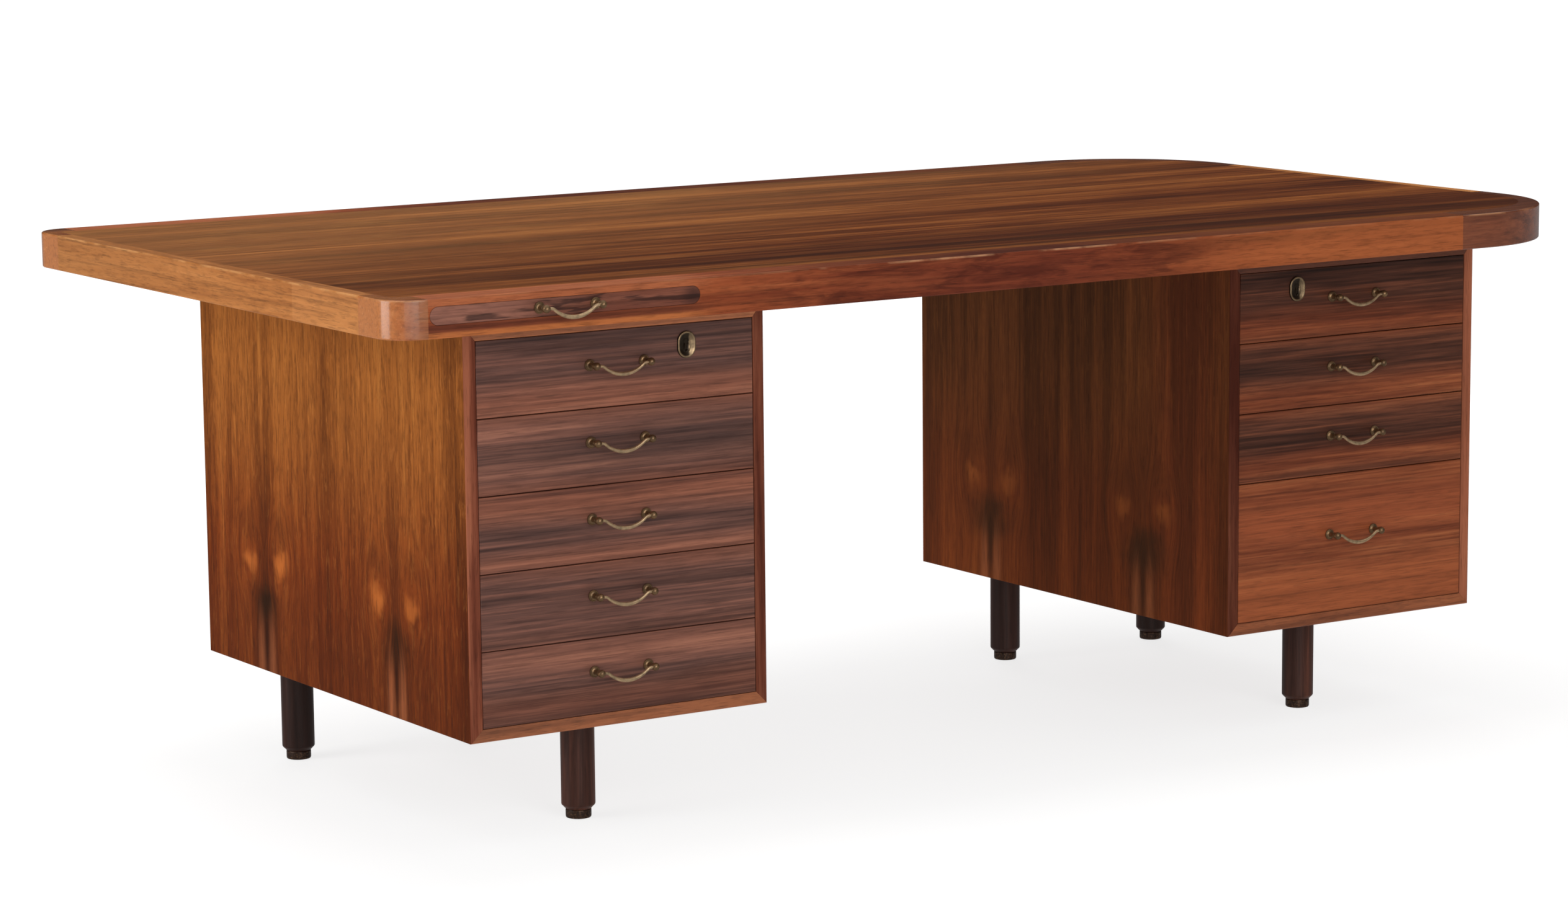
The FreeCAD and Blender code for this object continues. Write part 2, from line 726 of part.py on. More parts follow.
def lock(name, across, front_high, x, y, z):
    """A lock let into the back of a drawer front, its escutcheon on the face and its rising bolt."""
    body = new_body(name + "_escutcheon")
    outline = new_sketch(body, "XZ_Plane")
    low = front_high - desk.lock_drop - desk.escutcheon_height / 2
    keyhole_low = front_high - desk.lock_drop - desk.keyhole_length / 2
    upright_slot(outline, across, low, desk.escutcheon_width, desk.escutcheon_height)
    pad(body, outline, desk.escutcheon_thickness)
    document.recompute()
    recess = new_sketch(body, "XZ_Plane", desk.escutcheon_thickness)
    upright_slot(recess, across, low + desk.escutcheon_rim, desk.escutcheon_width - 2 * desk.escutcheon_rim,
                 desk.escutcheon_height - 2 * desk.escutcheon_rim)
    pocket(body, recess, desk.escutcheon_recess)
    document.recompute()
    hole = new_sketch(body, "XZ_Plane", desk.escutcheon_thickness)
    keyhole(hole, across, keyhole_low)
    pocket(body, hole, desk.escutcheon_thickness)
    place(body, x, y, z)

    case = new_body(name + "_lock_case")
    case_sketch = new_sketch(case, "XZ_Plane")
    rectangle(case_sketch, across - desk.lock_width / 2, front_high - desk.lock_height,
              across + desk.lock_width / 2, front_high)
    pad(case, case_sketch, desk.lock_depth, True)
    document.recompute()
    bolt_front = (desk.lock_depth - desk.bolt_thickness) / 2
    slot = new_sketch(case, "XZ_Plane", -(bolt_front - desk.bolt_play))
    rectangle(slot, across - desk.bolt_width / 2 - desk.bolt_play,
              front_high - desk.bolt_setback - desk.bolt_height - desk.bolt_play,
              across + desk.bolt_width / 2 + desk.bolt_play, front_high + desk.bolt_play)
    pocket(case, slot, desk.bolt_thickness + 2 * desk.bolt_play)
    document.recompute()
    case_hole = new_sketch(case, "XZ_Plane")
    keyhole(case_hole, across, keyhole_low)
    pocket(case, case_hole, desk.keyhole_depth)
    case_y = y + desk.front_board - desk.lock_depth
    place(case, x, case_y, z)
    add_node(group(name + "_lock", [body, case]), name + "_lock")
    add_node(board(name + "_lock_bolt", desk.bolt_width, desk.bolt_thickness, desk.bolt_height,
                   x + across - desk.bolt_width / 2, case_y + bolt_front,
                   z + front_high - desk.bolt_setback - desk.bolt_height), name + "_lock_bolt")


runners = []


def drawer(name, side, units_above, units):
    """A drawer whose front fills its share of the opening and whose grooved sides hang on two runners."""
    front_high = drawer_unit * units - desk.drawer_gap
    front_low = opening_top - drawer_unit * (units_above + units) + desk.drawer_gap / 2
    opening_left = case_left[side] + desk.case_panel
    front_left = opening_left + desk.drawer_side_gap
    pull_level = front_high * (1 - desk.pull_share)
    has_lock = units_above == 0

    front = new_body(name + "_front")
    outline = new_sketch(front, "XZ_Plane")
    rectangle(outline, 0, 0, front_width, front_high)
    pad(front, outline, desk.front_board, True)
    shank_bores(front, front_width / 2, pull_level)
    if has_lock:
        across = lock_across[side]
        web = desk.front_board - desk.lock_depth - desk.lock_clearance
        document.recompute()
        recess = new_sketch(front, "XZ_Plane", -web)
        rectangle(recess, across - desk.lock_width / 2 - desk.lock_clearance,
                  front_high - desk.lock_height - desk.lock_clearance,
                  across + desk.lock_width / 2 + desk.lock_clearance, front_high + desk.lock_clearance)
        pocket(front, recess, desk.lock_depth + 2 * desk.lock_clearance)
        document.recompute()
        hole = new_sketch(front, "XZ_Plane")
        keyhole(hole, across, front_high - desk.lock_drop - desk.keyhole_length / 2)
        pocket(front, hole, web)
    add_node(place(front, front_left, case_front, front_low), name + "_front")

    box_high = front_high - desk.box_rise - desk.box_headroom
    box_low = front_low + desk.box_rise
    box_front = case_front + desk.front_board
    groove_high = desk.runner_height + 2 * desk.runner_play
    groove_low = (box_high - groove_high) / 2
    groove_in = desk.runner_engagement + desk.runner_play
    bottom_low = desk.bottom_rise - desk.bottom_play
    bottom_high = desk.bottom_rise + desk.box_bottom + desk.bottom_play
    bottom_in = desk.box_side - desk.bottom_groove
    section = [
        (0, 0), (desk.box_side, 0), (desk.box_side, bottom_low), (bottom_in, bottom_low),
        (bottom_in, bottom_high), (desk.box_side, bottom_high), (desk.box_side, box_high), (0, box_high),
        (0, groove_low + groove_high), (groove_in, groove_low + groove_high), (groove_in, groove_low),
        (0, groove_low)]
    mirrored = [(desk.box_side - corner[0], corner[1]) for corner in section]
    box_left = opening_left + desk.box_side_gap
    box_right = opening_left + opening_width - desk.box_side_gap
    inside_width = box_right - box_left - 2 * desk.box_side
    bottom_width = inside_width + 2 * (desk.bottom_groove - desk.bottom_play)
    back_low = desk.bottom_rise + desk.box_bottom
    add_node(group(name + "_box", [
        long_board(name + "_left_side", section, desk.box_length, box_left, box_front, box_low),
        long_board(name + "_right_side", mirrored, desk.box_length, box_right - desk.box_side, box_front,
                   box_low),
        board(name + "_back", inside_width, desk.box_back, box_high - back_low,
              box_left + desk.box_side, box_front + desk.box_length - desk.box_back, box_low + back_low),
        board(name + "_bottom", bottom_width, desk.box_length, desk.box_bottom,
              box_left + desk.box_side - desk.bottom_groove + desk.bottom_play, box_front,
              box_low + desk.bottom_rise),
    ]), name + "_box")

    runner_width = desk.box_side_gap + desk.runner_engagement
    runner_low = box_low + groove_low + desk.runner_play
    for hand, x in (("left", opening_left), ("right", opening_left + opening_width - runner_width)):
        runners.append(board("%s_%s_runner" % (name, hand), runner_width, desk.runner_length,
                             desk.runner_height, x, box_front + desk.runner_setback, runner_low))

    pull(name, front_left + front_width / 2, case_front, front_low + pull_level)
    if has_lock:
        lock(name, across, front_high, front_left, case_front, front_low)


# Five equal drawers on the left; three of the same height and a double one on the right.
for number in range(5):
    drawer("left_drawer_%d" % (number + 1), "left", number, 1)
for number in range(3):
    drawer("right_drawer_%d" % (number + 1), "right", number, 1)
drawer("right_drawer_4", "right", 3, 2)
add_node(group("drawer_runners", runners), "drawer_runners")

# The pull-out leaf: a dark round-ended front on a plain board, with a cleat at the back that stops it.
strip_length = desk.leaf_slot_length - 2 * desk.leaf_play
strip_height = desk.leaf_slot_height - 2 * desk.leaf_play
leaf_front = new_body("leaf_front")
strip_sketch = new_sketch(leaf_front, "XZ_Plane")
level_slot(strip_sketch, as_size(0), as_size(0), strip_length, strip_height)
pad(leaf_front, strip_sketch, desk.leaf_strip, True)
shank_bores(leaf_front, strip_length / 2, strip_height / 2)
add_node(place(leaf_front, leaf_left + desk.leaf_play, top_front, leaf_level - strip_height / 2),
         "leaf_front")

leaf_panel = new_body("leaf_board")
leaf_sketch = new_sketch(leaf_panel, "XY_Plane")
wing = desk.leaf_cleat_wing
cleat_front = desk.leaf_board_length - desk.leaf_cleat_length
polygon(leaf_sketch, [
    (wing, 0), (wing + leaf_board_width, 0), (wing + leaf_board_width, cleat_front),
    (leaf_cleat_width, cleat_front), (leaf_cleat_width, desk.leaf_board_length),
    (0, desk.leaf_board_length), (0, cleat_front), (wing, cleat_front)])
pad(leaf_panel, leaf_sketch, desk.leaf_board)
add_node(place(leaf_panel, leaf_middle - leaf_cleat_width / 2, top_front + desk.leaf_strip, leaf_underside),
         "leaf_board")
pull("leaf", leaf_middle, top_front, leaf_level)

document.recompute()
for thing in document.Objects:
    if "Invalid" in thing.State or "Error" in thing.State:
        raise RuntimeError("not built: " + thing.Name)
for thing in nodes:
    if thing.Shape.isNull() or not thing.Shape.isValid() or not thing.Shape.Solids:
        raise RuntimeError("no valid solid: " + thing.Label)
    thing.Shape.exportStep("parts/%s.step" % thing.Label)
print(len(nodes), "pieces written")
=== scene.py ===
import json
import math

import bmesh
import bpy
from mathutils import Matrix, Vector


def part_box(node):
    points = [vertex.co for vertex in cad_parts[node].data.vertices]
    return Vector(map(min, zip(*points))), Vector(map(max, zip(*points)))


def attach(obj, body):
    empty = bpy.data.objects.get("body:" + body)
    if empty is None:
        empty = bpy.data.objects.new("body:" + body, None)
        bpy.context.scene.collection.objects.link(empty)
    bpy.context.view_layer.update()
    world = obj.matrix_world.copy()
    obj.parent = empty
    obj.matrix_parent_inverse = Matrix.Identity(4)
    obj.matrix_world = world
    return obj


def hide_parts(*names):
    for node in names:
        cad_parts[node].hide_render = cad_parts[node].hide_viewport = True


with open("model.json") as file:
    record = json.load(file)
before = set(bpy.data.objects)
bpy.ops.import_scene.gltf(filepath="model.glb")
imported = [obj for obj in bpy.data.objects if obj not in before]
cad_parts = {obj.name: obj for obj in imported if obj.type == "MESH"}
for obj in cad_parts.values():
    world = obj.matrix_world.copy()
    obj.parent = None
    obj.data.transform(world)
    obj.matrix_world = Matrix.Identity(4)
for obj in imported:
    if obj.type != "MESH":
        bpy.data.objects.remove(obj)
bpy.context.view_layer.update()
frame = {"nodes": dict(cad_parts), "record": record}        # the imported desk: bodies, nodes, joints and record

# The top panel is a sheet of rosewood veneer with its grain along the desk, glued over a core and planed
# flush with the solid edges around it. It is darkest behind the front edge, and paler towards the back and
# the left with a painted sheen: the grazing reflection of the room is laid into its colour.
TOP_LOW, TOP_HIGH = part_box("corner_blocks")
ALONG_LENGTH = (0.035, 1.0, 1.0)


def tint(red, green, blue):
    """A colour as read off a screen, as the plain light values that a shader takes."""
    shares = [value / 255 for value in (red, green, blue)]
    return tuple(s / 12.92 if s <= 0.04045 else ((s + 0.055) / 1.055) ** 2.4 for s in shares) + (1.0,)


class Finish:
    """A surface finish: one principled shader, with its colour, roughness and bump worked out by nodes."""

    def __init__(self, name, **settings):
        self.material = bpy.data.materials.new(name)
        self.material.use_nodes = True
        self.tree = self.material.node_tree
        self.shader = self.tree.nodes["Principled BSDF"]
        for socket, value in settings.items():
            self.shader.inputs[socket.replace("_", " ")].default_value = value
        self.place = self.add("ShaderNodeTexCoord").outputs["Object"]
        self.x, self.y, self.z = self.add("ShaderNodeSeparateXYZ", self.place).outputs

    def add(self, kind, *values, **choices):
        """Add a node, make its choices and feed its inputs in order, each with a link or a constant."""
        node = self.tree.nodes.new(kind)
        for choice, value in choices.items():
            setattr(node, choice, value)
        for socket, value in zip(node.inputs, values):
            self.feed(socket, value)
        return node

    def feed(self, socket, value):
        if isinstance(value, bpy.types.NodeSocket):
            self.tree.links.new(value, socket)
        else:
            socket.default_value = value

    def maths(self, operation, *values):
        return self.add("ShaderNodeMath", *values, operation=operation).outputs[0]

    def total(self, *parts):
        """The sum of several values, each with its weight."""
        result = self.maths("MULTIPLY", *parts[0])
        for value, weight in parts[1:]:
            result = self.maths("MULTIPLY_ADD", value, weight, result)
        return result

    def stretched(self, place, scales):
        return self.add("ShaderNodeVectorMath", place, scales, operation="MULTIPLY").outputs[0]

    def noise(self, place, scale, detail=2.0, roughness=0.5, distortion=0.0):
        node = self.add("ShaderNodeTexNoise", place)
        for socket, value in (("Scale", scale), ("Detail", detail), ("Roughness", roughness),
                              ("Distortion", distortion)):
            node.inputs[socket].default_value = value
        return node.outputs[0]

    def step(self, value, start, end):
        """0 at start and before it, 1 at end and beyond it, and a soft step between them."""
        return self.add("ShaderNodeMapRange", value, start, end, interpolation_type="SMOOTHSTEP").outputs[0]

    def spot(self, across, up, centre, reach):
        """1 at a centre, falling softly to 0 on an oval round it."""
        sides = [self.maths("DIVIDE", self.maths("SUBTRACT", value, middle), half)
                 for value, middle, half in zip((across, up), centre, reach)]
        squares = self.total(*[(side, side) for side in sides])
        return self.step(self.maths("SQRT", squares), 1.0, 0.1)

    def ramp(self, value, *stops):
        node = self.add("ShaderNodeValToRGB", value)
        elements = node.color_ramp.elements
        while len(elements) < len(stops):
            elements.new(0.5)
        for element, (position, colour) in zip(elements, stops):
            element.position = position
            element.color = colour
        return node.outputs[0]

    def mix(self, share, first, second):
        node = self.add("ShaderNodeMix", share, data_type="RGBA")
        self.feed(node.inputs[6], first)
        self.feed(node.inputs[7], second)
        return node.outputs[2]

    def faded(self, mask, strength):
        return self.maths("MULTIPLY", mask, strength)

    def grain(self, place, stretch, wander=0.5, shares=(0.45, 0.38, 0.17)):
        """Streaks of three widths along a board: a tone round 0.5, with low values for dark wood."""
        board = self.stretched(place, stretch)
        broad = self.noise(board, 13.0, 2.0, 0.5, wander)
        streak = self.noise(board, 58.0, 4.0, 0.6, wander)
        self.fine = self.noise(board, 250.0, 2.0, 0.6, 0.2)
        self.pores = self.step(self.noise(board, 820.0, 1.0), 0.58, 0.68)
        long_board = self.stretched(place, [share ** 1.45 for share in stretch])
        self.veins = self.step(self.noise(long_board, 150.0, 3.0, 0.6, 0.3), 0.54, 0.64)
        short_board = self.stretched(place, [share ** 0.6 for share in stretch])
        self.flecks = self.step(self.noise(short_board, 230.0, 3.0, 0.7), 0.48, 0.64)
        return self.total(*zip((broad, streak, self.fine), shares))

    def oiled(self, colour, smoothest=0.34, roughest=0.52, veined=0.25, porous=0.3, flecked=0.2):
        """Close the wood with thin dark veins, flecks and pores, an uneven satin and a slight relief."""
        colour = self.mix(self.faded(self.veins, veined), colour, tint(38, 19, 14))
        colour = self.mix(self.faded(self.flecks, flecked), colour, tint(52, 25, 14))
        colour = self.mix(self.faded(self.pores, porous), colour, tint(30, 15, 11))
        self.feed(self.shader.inputs["Base Color"], colour)
        satin = self.add("ShaderNodeMapRange", self.fine, 0.3, 0.7, smoothest, roughest)
        self.feed(self.shader.inputs["Roughness"], satin.outputs[0])
        relief = self.total((self.fine, 0.6), (self.pores, -0.6))
        bump = self.add("ShaderNodeBump")
        bump.inputs["Strength"].default_value = 0.5
        bump.inputs["Distance"].default_value = 0.00012
        self.feed(bump.inputs["Height"], relief)
        self.feed(self.shader.inputs["Normal"], bump.outputs[0])
        return self.material


veneer = Finish("rosewood_top_veneer", Specular_IOR_Level=0.05)
tone = veneer.grain(veneer.place, ALONG_LENGTH, 0.8)
brown = veneer.ramp(tone, (0.37, tint(50, 22, 10)), (0.47, tint(92, 44, 19)), (0.55, tint(128, 70, 31)),
                    (0.65, tint(164, 100, 48)))
# Painted sheen: the back and left of the top are paled, standing for the grazing reflection seen there.
grazing_sheen = veneer.mix(0.5, brown, tint(182, 122, 70))
towards_back = veneer.step(veneer.total((veneer.y, 1.0), (veneer.x, -0.45)), -0.25, 0.8)
brown = veneer.mix(towards_back, brown, grazing_sheen)
dark_band = veneer.spot(veneer.x, veneer.y, (0.15, TOP_LOW.y + 0.14), (1.6, 0.19))
brown = veneer.mix(veneer.faded(dark_band, 0.5), brown, tint(66, 31, 16))
long_board = veneer.stretched(veneer.place, (0.012, 1.0, 1.0))
long_streaks = veneer.step(veneer.noise(long_board, 34.0, 3.0, 0.6, 0.4), 0.5, 0.6)
streaked_band = veneer.maths("MULTIPLY", long_streaks, veneer.maths("MULTIPLY_ADD", dark_band, 0.6, 0.14))
brown = veneer.mix(streaked_band, brown, tint(44, 20, 12))
blotches = veneer.noise(veneer.stretched(veneer.place, (0.45, 1.0, 1.0)), 8.0, 5.0, 0.65)
stain = veneer.maths("MULTIPLY", veneer.step(blotches, 0.48, 0.66), towards_back)
brown = veneer.mix(veneer.faded(stain, 0.4), brown, tint(170, 112, 58))
top_veneer = veneer.oiled(brown, 0.3, 0.44, 0.35)
frame["nodes"]["top_panel"].data.materials[0] = top_veneer

# The sheet under the top is a plainer rosewood veneer that balances the one above, oiled once and left.
# It shows in the kneehole and under the overhangs.
backing = Finish("rosewood_backing_veneer", Specular_IOR_Level=0.2)
tone = backing.grain(backing.place, ALONG_LENGTH, 0.4)
underside = backing.ramp(tone, (0.36, tint(48, 25, 16)), (0.52, tint(84, 45, 27)),
                         (0.66, tint(112, 64, 40)))
frame["nodes"]["top_underside"].data.materials[0] = backing.oiled(underside, 0.5, 0.65)

# The core blocks inside the top, the strips that keep the pull-out leaf level and the runners that carry the
# drawers are sawn pale wood, glued in place. They show only when the leaf or a drawer is out.
sawn = Finish("sawn_pale_wood", Specular_IOR_Level=0.2)
tone = sawn.grain(sawn.place, (1.0, 0.05, 1.0), 0.3)
pale_wood = sawn.ramp(tone, (0.36, tint(150, 112, 72)), (0.52, tint(184, 148, 102)),
                      (0.66, tint(204, 172, 128)))
sawn_wood = sawn.oiled(pale_wood, 0.6, 0.75)
for node in ("top_core", "leaf_runners", "drawer_runners"):
    frame["nodes"][node].data.materials[0] = sawn_wood

# Solid rosewood lippings frame the sheets. The long ones run along the front and back edges, the front one
# cut through by the round-ended slot of the leaf; their outer arrises are rubbed round and worn pale.
ARRIS, FINE_ROUND = 0.0022, 0.0007
LEFT_CORNER, RIGHT_CORNER = 0.045, 0.21


def add_piece(mesh, name, body, slot, material, *stands_for):
    """Make a mesh into a piece that rides on a body and stands for drawn nodes."""
    data = bpy.data.meshes.new(name)
    mesh.to_mesh(data)
    mesh.free()
    data.polygons.foreach_set("use_smooth", [True] * len(data.polygons))
    data.set_sharp_from_angle(angle=math.radians(42))
    data.materials.append(material)
    piece = bpy.data.objects.new(name, data)
    bpy.context.scene.collection.objects.link(piece)
    piece.modifiers.new("flat_faces_stay_flat", "WEIGHTED_NORMAL").keep_sharp = True
    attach(piece, body)
    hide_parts(*stands_for)
    return piece


def rub(mesh, radius, chosen):
    """Round the chosen edges of a mesh. The test gets an edge's middle and its direction."""
    picked = []
    for edge in mesh.edges:
        first, last = (vertex.co for vertex in edge.verts)
        sharp = edge.calc_face_angle(0) > math.radians(30)
        if sharp and chosen((first + last) / 2, (last - first).normalized()):
            picked.append(edge)
    bmesh.ops.bevel(mesh, geom=picked, offset=radius, offset_type="OFFSET", segments=3, profile=0.5,
                    affect="EDGES", clamp_overlap=True)


def drawn(node):
    """A fresh mesh of a drawn node, with its flat faces whole again."""
    mesh = bmesh.new()
    mesh.from_mesh(frame["nodes"][node].data)
    bmesh.ops.remove_doubles(mesh, verts=mesh.verts, dist=1e-6)
    bmesh.ops.dissolve_limit(mesh, angle_limit=math.radians(0.5), verts=mesh.verts, edges=mesh.edges)
    return mesh


def depth_in_top(point):
    """How far a point lies inside the outline of the top."""
    centre, half = (TOP_LOW + TOP_HIGH) / 2, (TOP_HIGH - TOP_LOW) / 2
    corner = RIGHT_CORNER if point.x > 0 else LEFT_CORNER
    across = abs(point.x - centre.x) - half.x + corner
    along = abs(point.y - centre.y) - half.y + corner
    outside = math.hypot(max(across, 0), max(along, 0))
    return corner - outside - min(max(across, along), 0)


def on_outline(middle, direction):
    near_face = min(abs(middle.z - TOP_LOW.z), abs(middle.z - TOP_HIGH.z)) < 1e-4
    return near_face and abs(direction.z) < 0.1 and depth_in_top(middle) < 0.0006


def on_slot(middle, direction):
    return abs(middle.y - TOP_LOW.y) < 1e-4 and TOP_LOW.z + 0.005 < middle.z < TOP_HIGH.z - 0.004 \
        and abs(direction.y) < 0.1


def worn_arris(finish, colour, pale, strength):
    """Wear the upper outer arris of the top down to paler wood, unevenly along its length."""
    edge = finish.step(finish.z, TOP_HIGH.z - 0.0034, TOP_HIGH.z - 0.0012)
    flat = finish.step(finish.z, TOP_HIGH.z - 0.00005, TOP_HIGH.z - 0.0003)
    patchy = finish.step(finish.noise(finish.place, 22.0, 4.0), 0.4, 0.6)
    line = finish.maths("MULTIPLY", finish.maths("MULTIPLY", edge, flat), patchy)
    return finish.mix(finish.faded(line, strength), colour, pale)


lipping = Finish("rosewood_long_lipping", Specular_IOR_Level=0.08)
tone = lipping.grain(lipping.place, ALONG_LENGTH, 0.9)
red_brown = lipping.ramp(tone, (0.34, tint(72, 30, 19)), (0.47, tint(122, 55, 30)),
                         (0.57, tint(150, 76, 42)), (0.68, tint(172, 98, 58)))
figure = lipping.spot(lipping.x, lipping.z, (-0.1, TOP_LOW.z + 0.03), (0.54, 0.12))
red_brown = lipping.mix(lipping.faded(figure, 0.5), red_brown, tint(104, 48, 32))
by_leaf = lipping.step(lipping.x, -0.5, -0.58)
under_leaf = lipping.maths("MULTIPLY", by_leaf, lipping.step(lipping.z, 0.697, 0.69))
red_brown = lipping.mix(lipping.faded(under_leaf, 0.6), red_brown, tint(84, 44, 32))
low_edge = lipping.maths("MULTIPLY", by_leaf, lipping.step(lipping.z, 0.685, 0.681))
red_brown = lipping.mix(lipping.faded(low_edge, 0.75), red_brown, tint(186, 108, 58))
over_leaf = lipping.maths("MULTIPLY", by_leaf, lipping.step(lipping.z, 0.712, 0.717))
red_brown = lipping.mix(lipping.faded(over_leaf, 0.45), red_brown, tint(186, 112, 74))
paler_end = lipping.step(lipping.x, 0.02, 0.5)
red_brown = lipping.mix(lipping.faded(paler_end, 0.5), red_brown, tint(176, 100, 54))
upper_face = lipping.maths("MULTIPLY", lipping.step(lipping.z, TOP_HIGH.z - 0.0003, TOP_HIGH.z - 0.00005),
                           lipping.step(lipping.x, -0.6, -0.1))
red_brown = lipping.mix(lipping.faded(upper_face, 0.7), red_brown, tint(72, 34, 17))
mottles = lipping.noise(lipping.stretched(lipping.place, (0.2, 1.0, 1.3)), 38.0, 4.0, 0.65, 0.8)
mottled_middle = lipping.maths("MULTIPLY", lipping.step(mottles, 0.42, 0.64), lipping.step(figure, 0.1, 0.6))
red_brown = lipping.mix(lipping.faded(mottled_middle, 0.6), red_brown, tint(60, 21, 15))
rubbed_middle = lipping.spot(lipping.x, lipping.x, (-0.1, -0.1), (0.6, 0.6))
wear = lipping.maths("MULTIPLY_ADD", rubbed_middle, 0.45, 0.12)
lipping_wood = lipping.oiled(worn_arris(lipping, red_brown, tint(210, 158, 116), wear))
for node, name in (("front_lipping", "front_edge"), ("back_lipping", "back_edge")):
    mesh = drawn(node)
    rub(mesh, ARRIS, on_outline)
    rub(mesh, FINE_ROUND, on_slot)
    add_piece(mesh, name, "desk", "lipping", lipping_wood, node)

# The end lippings are cut from a yellower board with the grain along the ends. The left one is in two
# lengths butted together, the front one a shade lighter.
LEFT_BLOCK_ARM, RIGHT_BLOCK_ARM, SPLICE = 0.09, 0.25, 0.268
END_THICKNESS = 0.022
end_low, end_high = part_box("end_lippings")


def board(mesh, low, high):
    """Add a plain board to a mesh."""
    size, middle = high - low, (low + high) / 2
    stand = Matrix.Translation(middle) @ Matrix.Diagonal(size).to_4x4()
    bmesh.ops.create_cube(mesh, size=1.0, matrix=stand)


amber = Finish("rosewood_end_lipping", Specular_IOR_Level=0.12)
tone = amber.grain(amber.place, (1.0, 0.05, 1.0), 0.6)
gold = amber.ramp(tone, (0.34, tint(136, 78, 36)), (0.48, tint(172, 108, 54)), (0.58, tint(192, 126, 68)),
                  (0.7, tint(208, 148, 90)))
front_length = amber.step(amber.y, TOP_LOW.y + SPLICE + 0.0006, TOP_LOW.y + SPLICE - 0.0006)
gold = amber.mix(amber.faded(front_length, 0.25), gold, tint(206, 140, 82))
gold = amber.mix(amber.faded(amber.step(amber.y, -0.25, 0.45), 0.42), gold, tint(138, 88, 48))
end_wood = amber.oiled(worn_arris(amber, gold, tint(216, 162, 106), 0.4))
lengths = (
    (end_low.x, TOP_LOW.y + LEFT_BLOCK_ARM, TOP_LOW.y + SPLICE),
    (end_low.x, TOP_LOW.y + SPLICE, TOP_HIGH.y - LEFT_BLOCK_ARM),
    (end_high.x - END_THICKNESS, TOP_LOW.y + RIGHT_BLOCK_ARM, TOP_HIGH.y - RIGHT_BLOCK_ARM),
)
mesh = bmesh.new()
for left, front, back in lengths:
    board(mesh, Vector((left, front, TOP_LOW.z)), Vector((left + END_THICKNESS, back, TOP_HIGH.z)))
rub(mesh, ARRIS, on_outline)
add_piece(mesh, "end_edges", "desk", "lipping", end_wood, "end_lippings")

# The four corners are solid blocks bandsawn to their curve and let in between the lippings. The left pair
# is warm and pale; the right pair, with the wide curve, is a greyer brown.
corner = Finish("rosewood_corner_block", Specular_IOR_Level=0.4, Coat_Weight=0.4, Coat_Roughness=0.12)
tone = corner.grain(corner.place, ALONG_LENGTH, 0.9)
warm = corner.ramp(tone, (0.34, tint(136, 70, 34)), (0.5, tint(168, 96, 50)), (0.66, tint(192, 124, 74)))
face = corner.step(corner.y, TOP_LOW.y + 0.012, TOP_LOW.y + 0.002)
warm = corner.mix(corner.faded(face, 0.4), warm, tint(112, 62, 44))
end_face = corner.step(corner.x, TOP_LOW.x + 0.016, TOP_LOW.x + 0.002)
warm = corner.mix(corner.faded(end_face, 0.7), warm, tint(180, 110, 52))
far_curve = corner.step(corner.y, TOP_HIGH.y - 0.044, TOP_HIGH.y - 0.02)
warm = corner.mix(corner.faded(far_curve, 0.7), warm, tint(88, 46, 34))
grey = corner.ramp(tone, (0.34, tint(76, 37, 21)), (0.5, tint(118, 62, 36)), (0.66, tint(148, 86, 52)))
block_wood = corner.oiled(worn_arris(corner, corner.mix(corner.step(corner.x, -0.1, 0.1), warm, grey),
                                     tint(206, 152, 106), 0.4), 0.18, 0.28, 0.2, 0.1)
mesh = drawn("corner_blocks")
rub(mesh, ARRIS, on_outline)
add_piece(mesh, "rounded_corners", "desk", "corner_wood", block_wood, "corner_blocks")

# The pedestal sides are veneered with leaves of one flitch, opened like a book about two upright lines so
# that the flame repeats: a dark heart with a pair of pale eyes above it. The front edges are lipped.
UPRIGHT = (1.0, 1.0, 0.045)
CASE_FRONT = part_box("left_drawer_1_front")[0].y
case_low, case_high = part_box("case_sides")
CASE_INNER, CASE_ROUND, EDGE_STRIP = 0.383, 0.0025, 0.0016
FIRST_FLAME, LEAF_WIDTH = 0.196, 0.1875
EYE = (0.046, 0.298)


def on_case_side(point):
    return any(abs(abs(point.x) - side) < 1e-4 for side in (case_high.x, CASE_INNER))


def on_case_front_corner(middle, direction):
    """True on the square outer edges of a case's front, down the sides and along the bottom."""
    outside = on_case_side(middle) or abs(middle.z - case_low.z) < 1e-4
    return abs(middle.y - CASE_FRONT) < 1e-4 and outside


def on_case_corner(middle, direction):
    """True on the front edges of a case and along its outer corners."""
    planes = (abs(middle.y - CASE_FRONT) < 1e-4, abs(middle.y - case_high.y) < 1e-4,
              abs(middle.z - case_low.z) < 1e-4)
    return planes[0] or sum(planes) + on_case_side(middle) > 1


def lipped_edge(finish):
    """1 on the thin lipping along the front edge of a case board, 0 on the veneer behind it."""
    return finish.step(finish.y, CASE_FRONT + EDGE_STRIP + 0.0006, CASE_FRONT + EDGE_STRIP)


def edge_lipping(finish, colour):
    """Cover the front edge of a case board with a strip of red-brown wood, with painted shade towards the
    kneehole.
    """
    strip = finish.ramp(finish.noise(finish.stretched(finish.place, UPRIGHT), 70.0, 3.0),
                        (0.34, tint(82, 39, 27)), (0.5, tint(118, 63, 45)), (0.66, tint(154, 91, 66)))
    right_hand = finish.step(finish.x, 0.6, 0.7)
    strip = finish.mix(finish.faded(right_hand, 0.42), strip, tint(174, 106, 76))
    # Painted shade: the edge strips on either side of the kneehole are darkened, the right case's most.
    kneehole = finish.spot(finish.x, finish.x, (0.4, 0.4), (0.12, 0.12))
    strip = finish.mix(finish.faded(kneehole, 0.62), strip, tint(54, 23, 15))
    left_inner = finish.spot(finish.x, finish.x, (-0.385, -0.385), (0.06, 0.06))
    strip = finish.mix(finish.faded(left_inner, 0.4), strip, tint(72, 36, 28))
    return finish.mix(lipped_edge(finish), colour, strip)


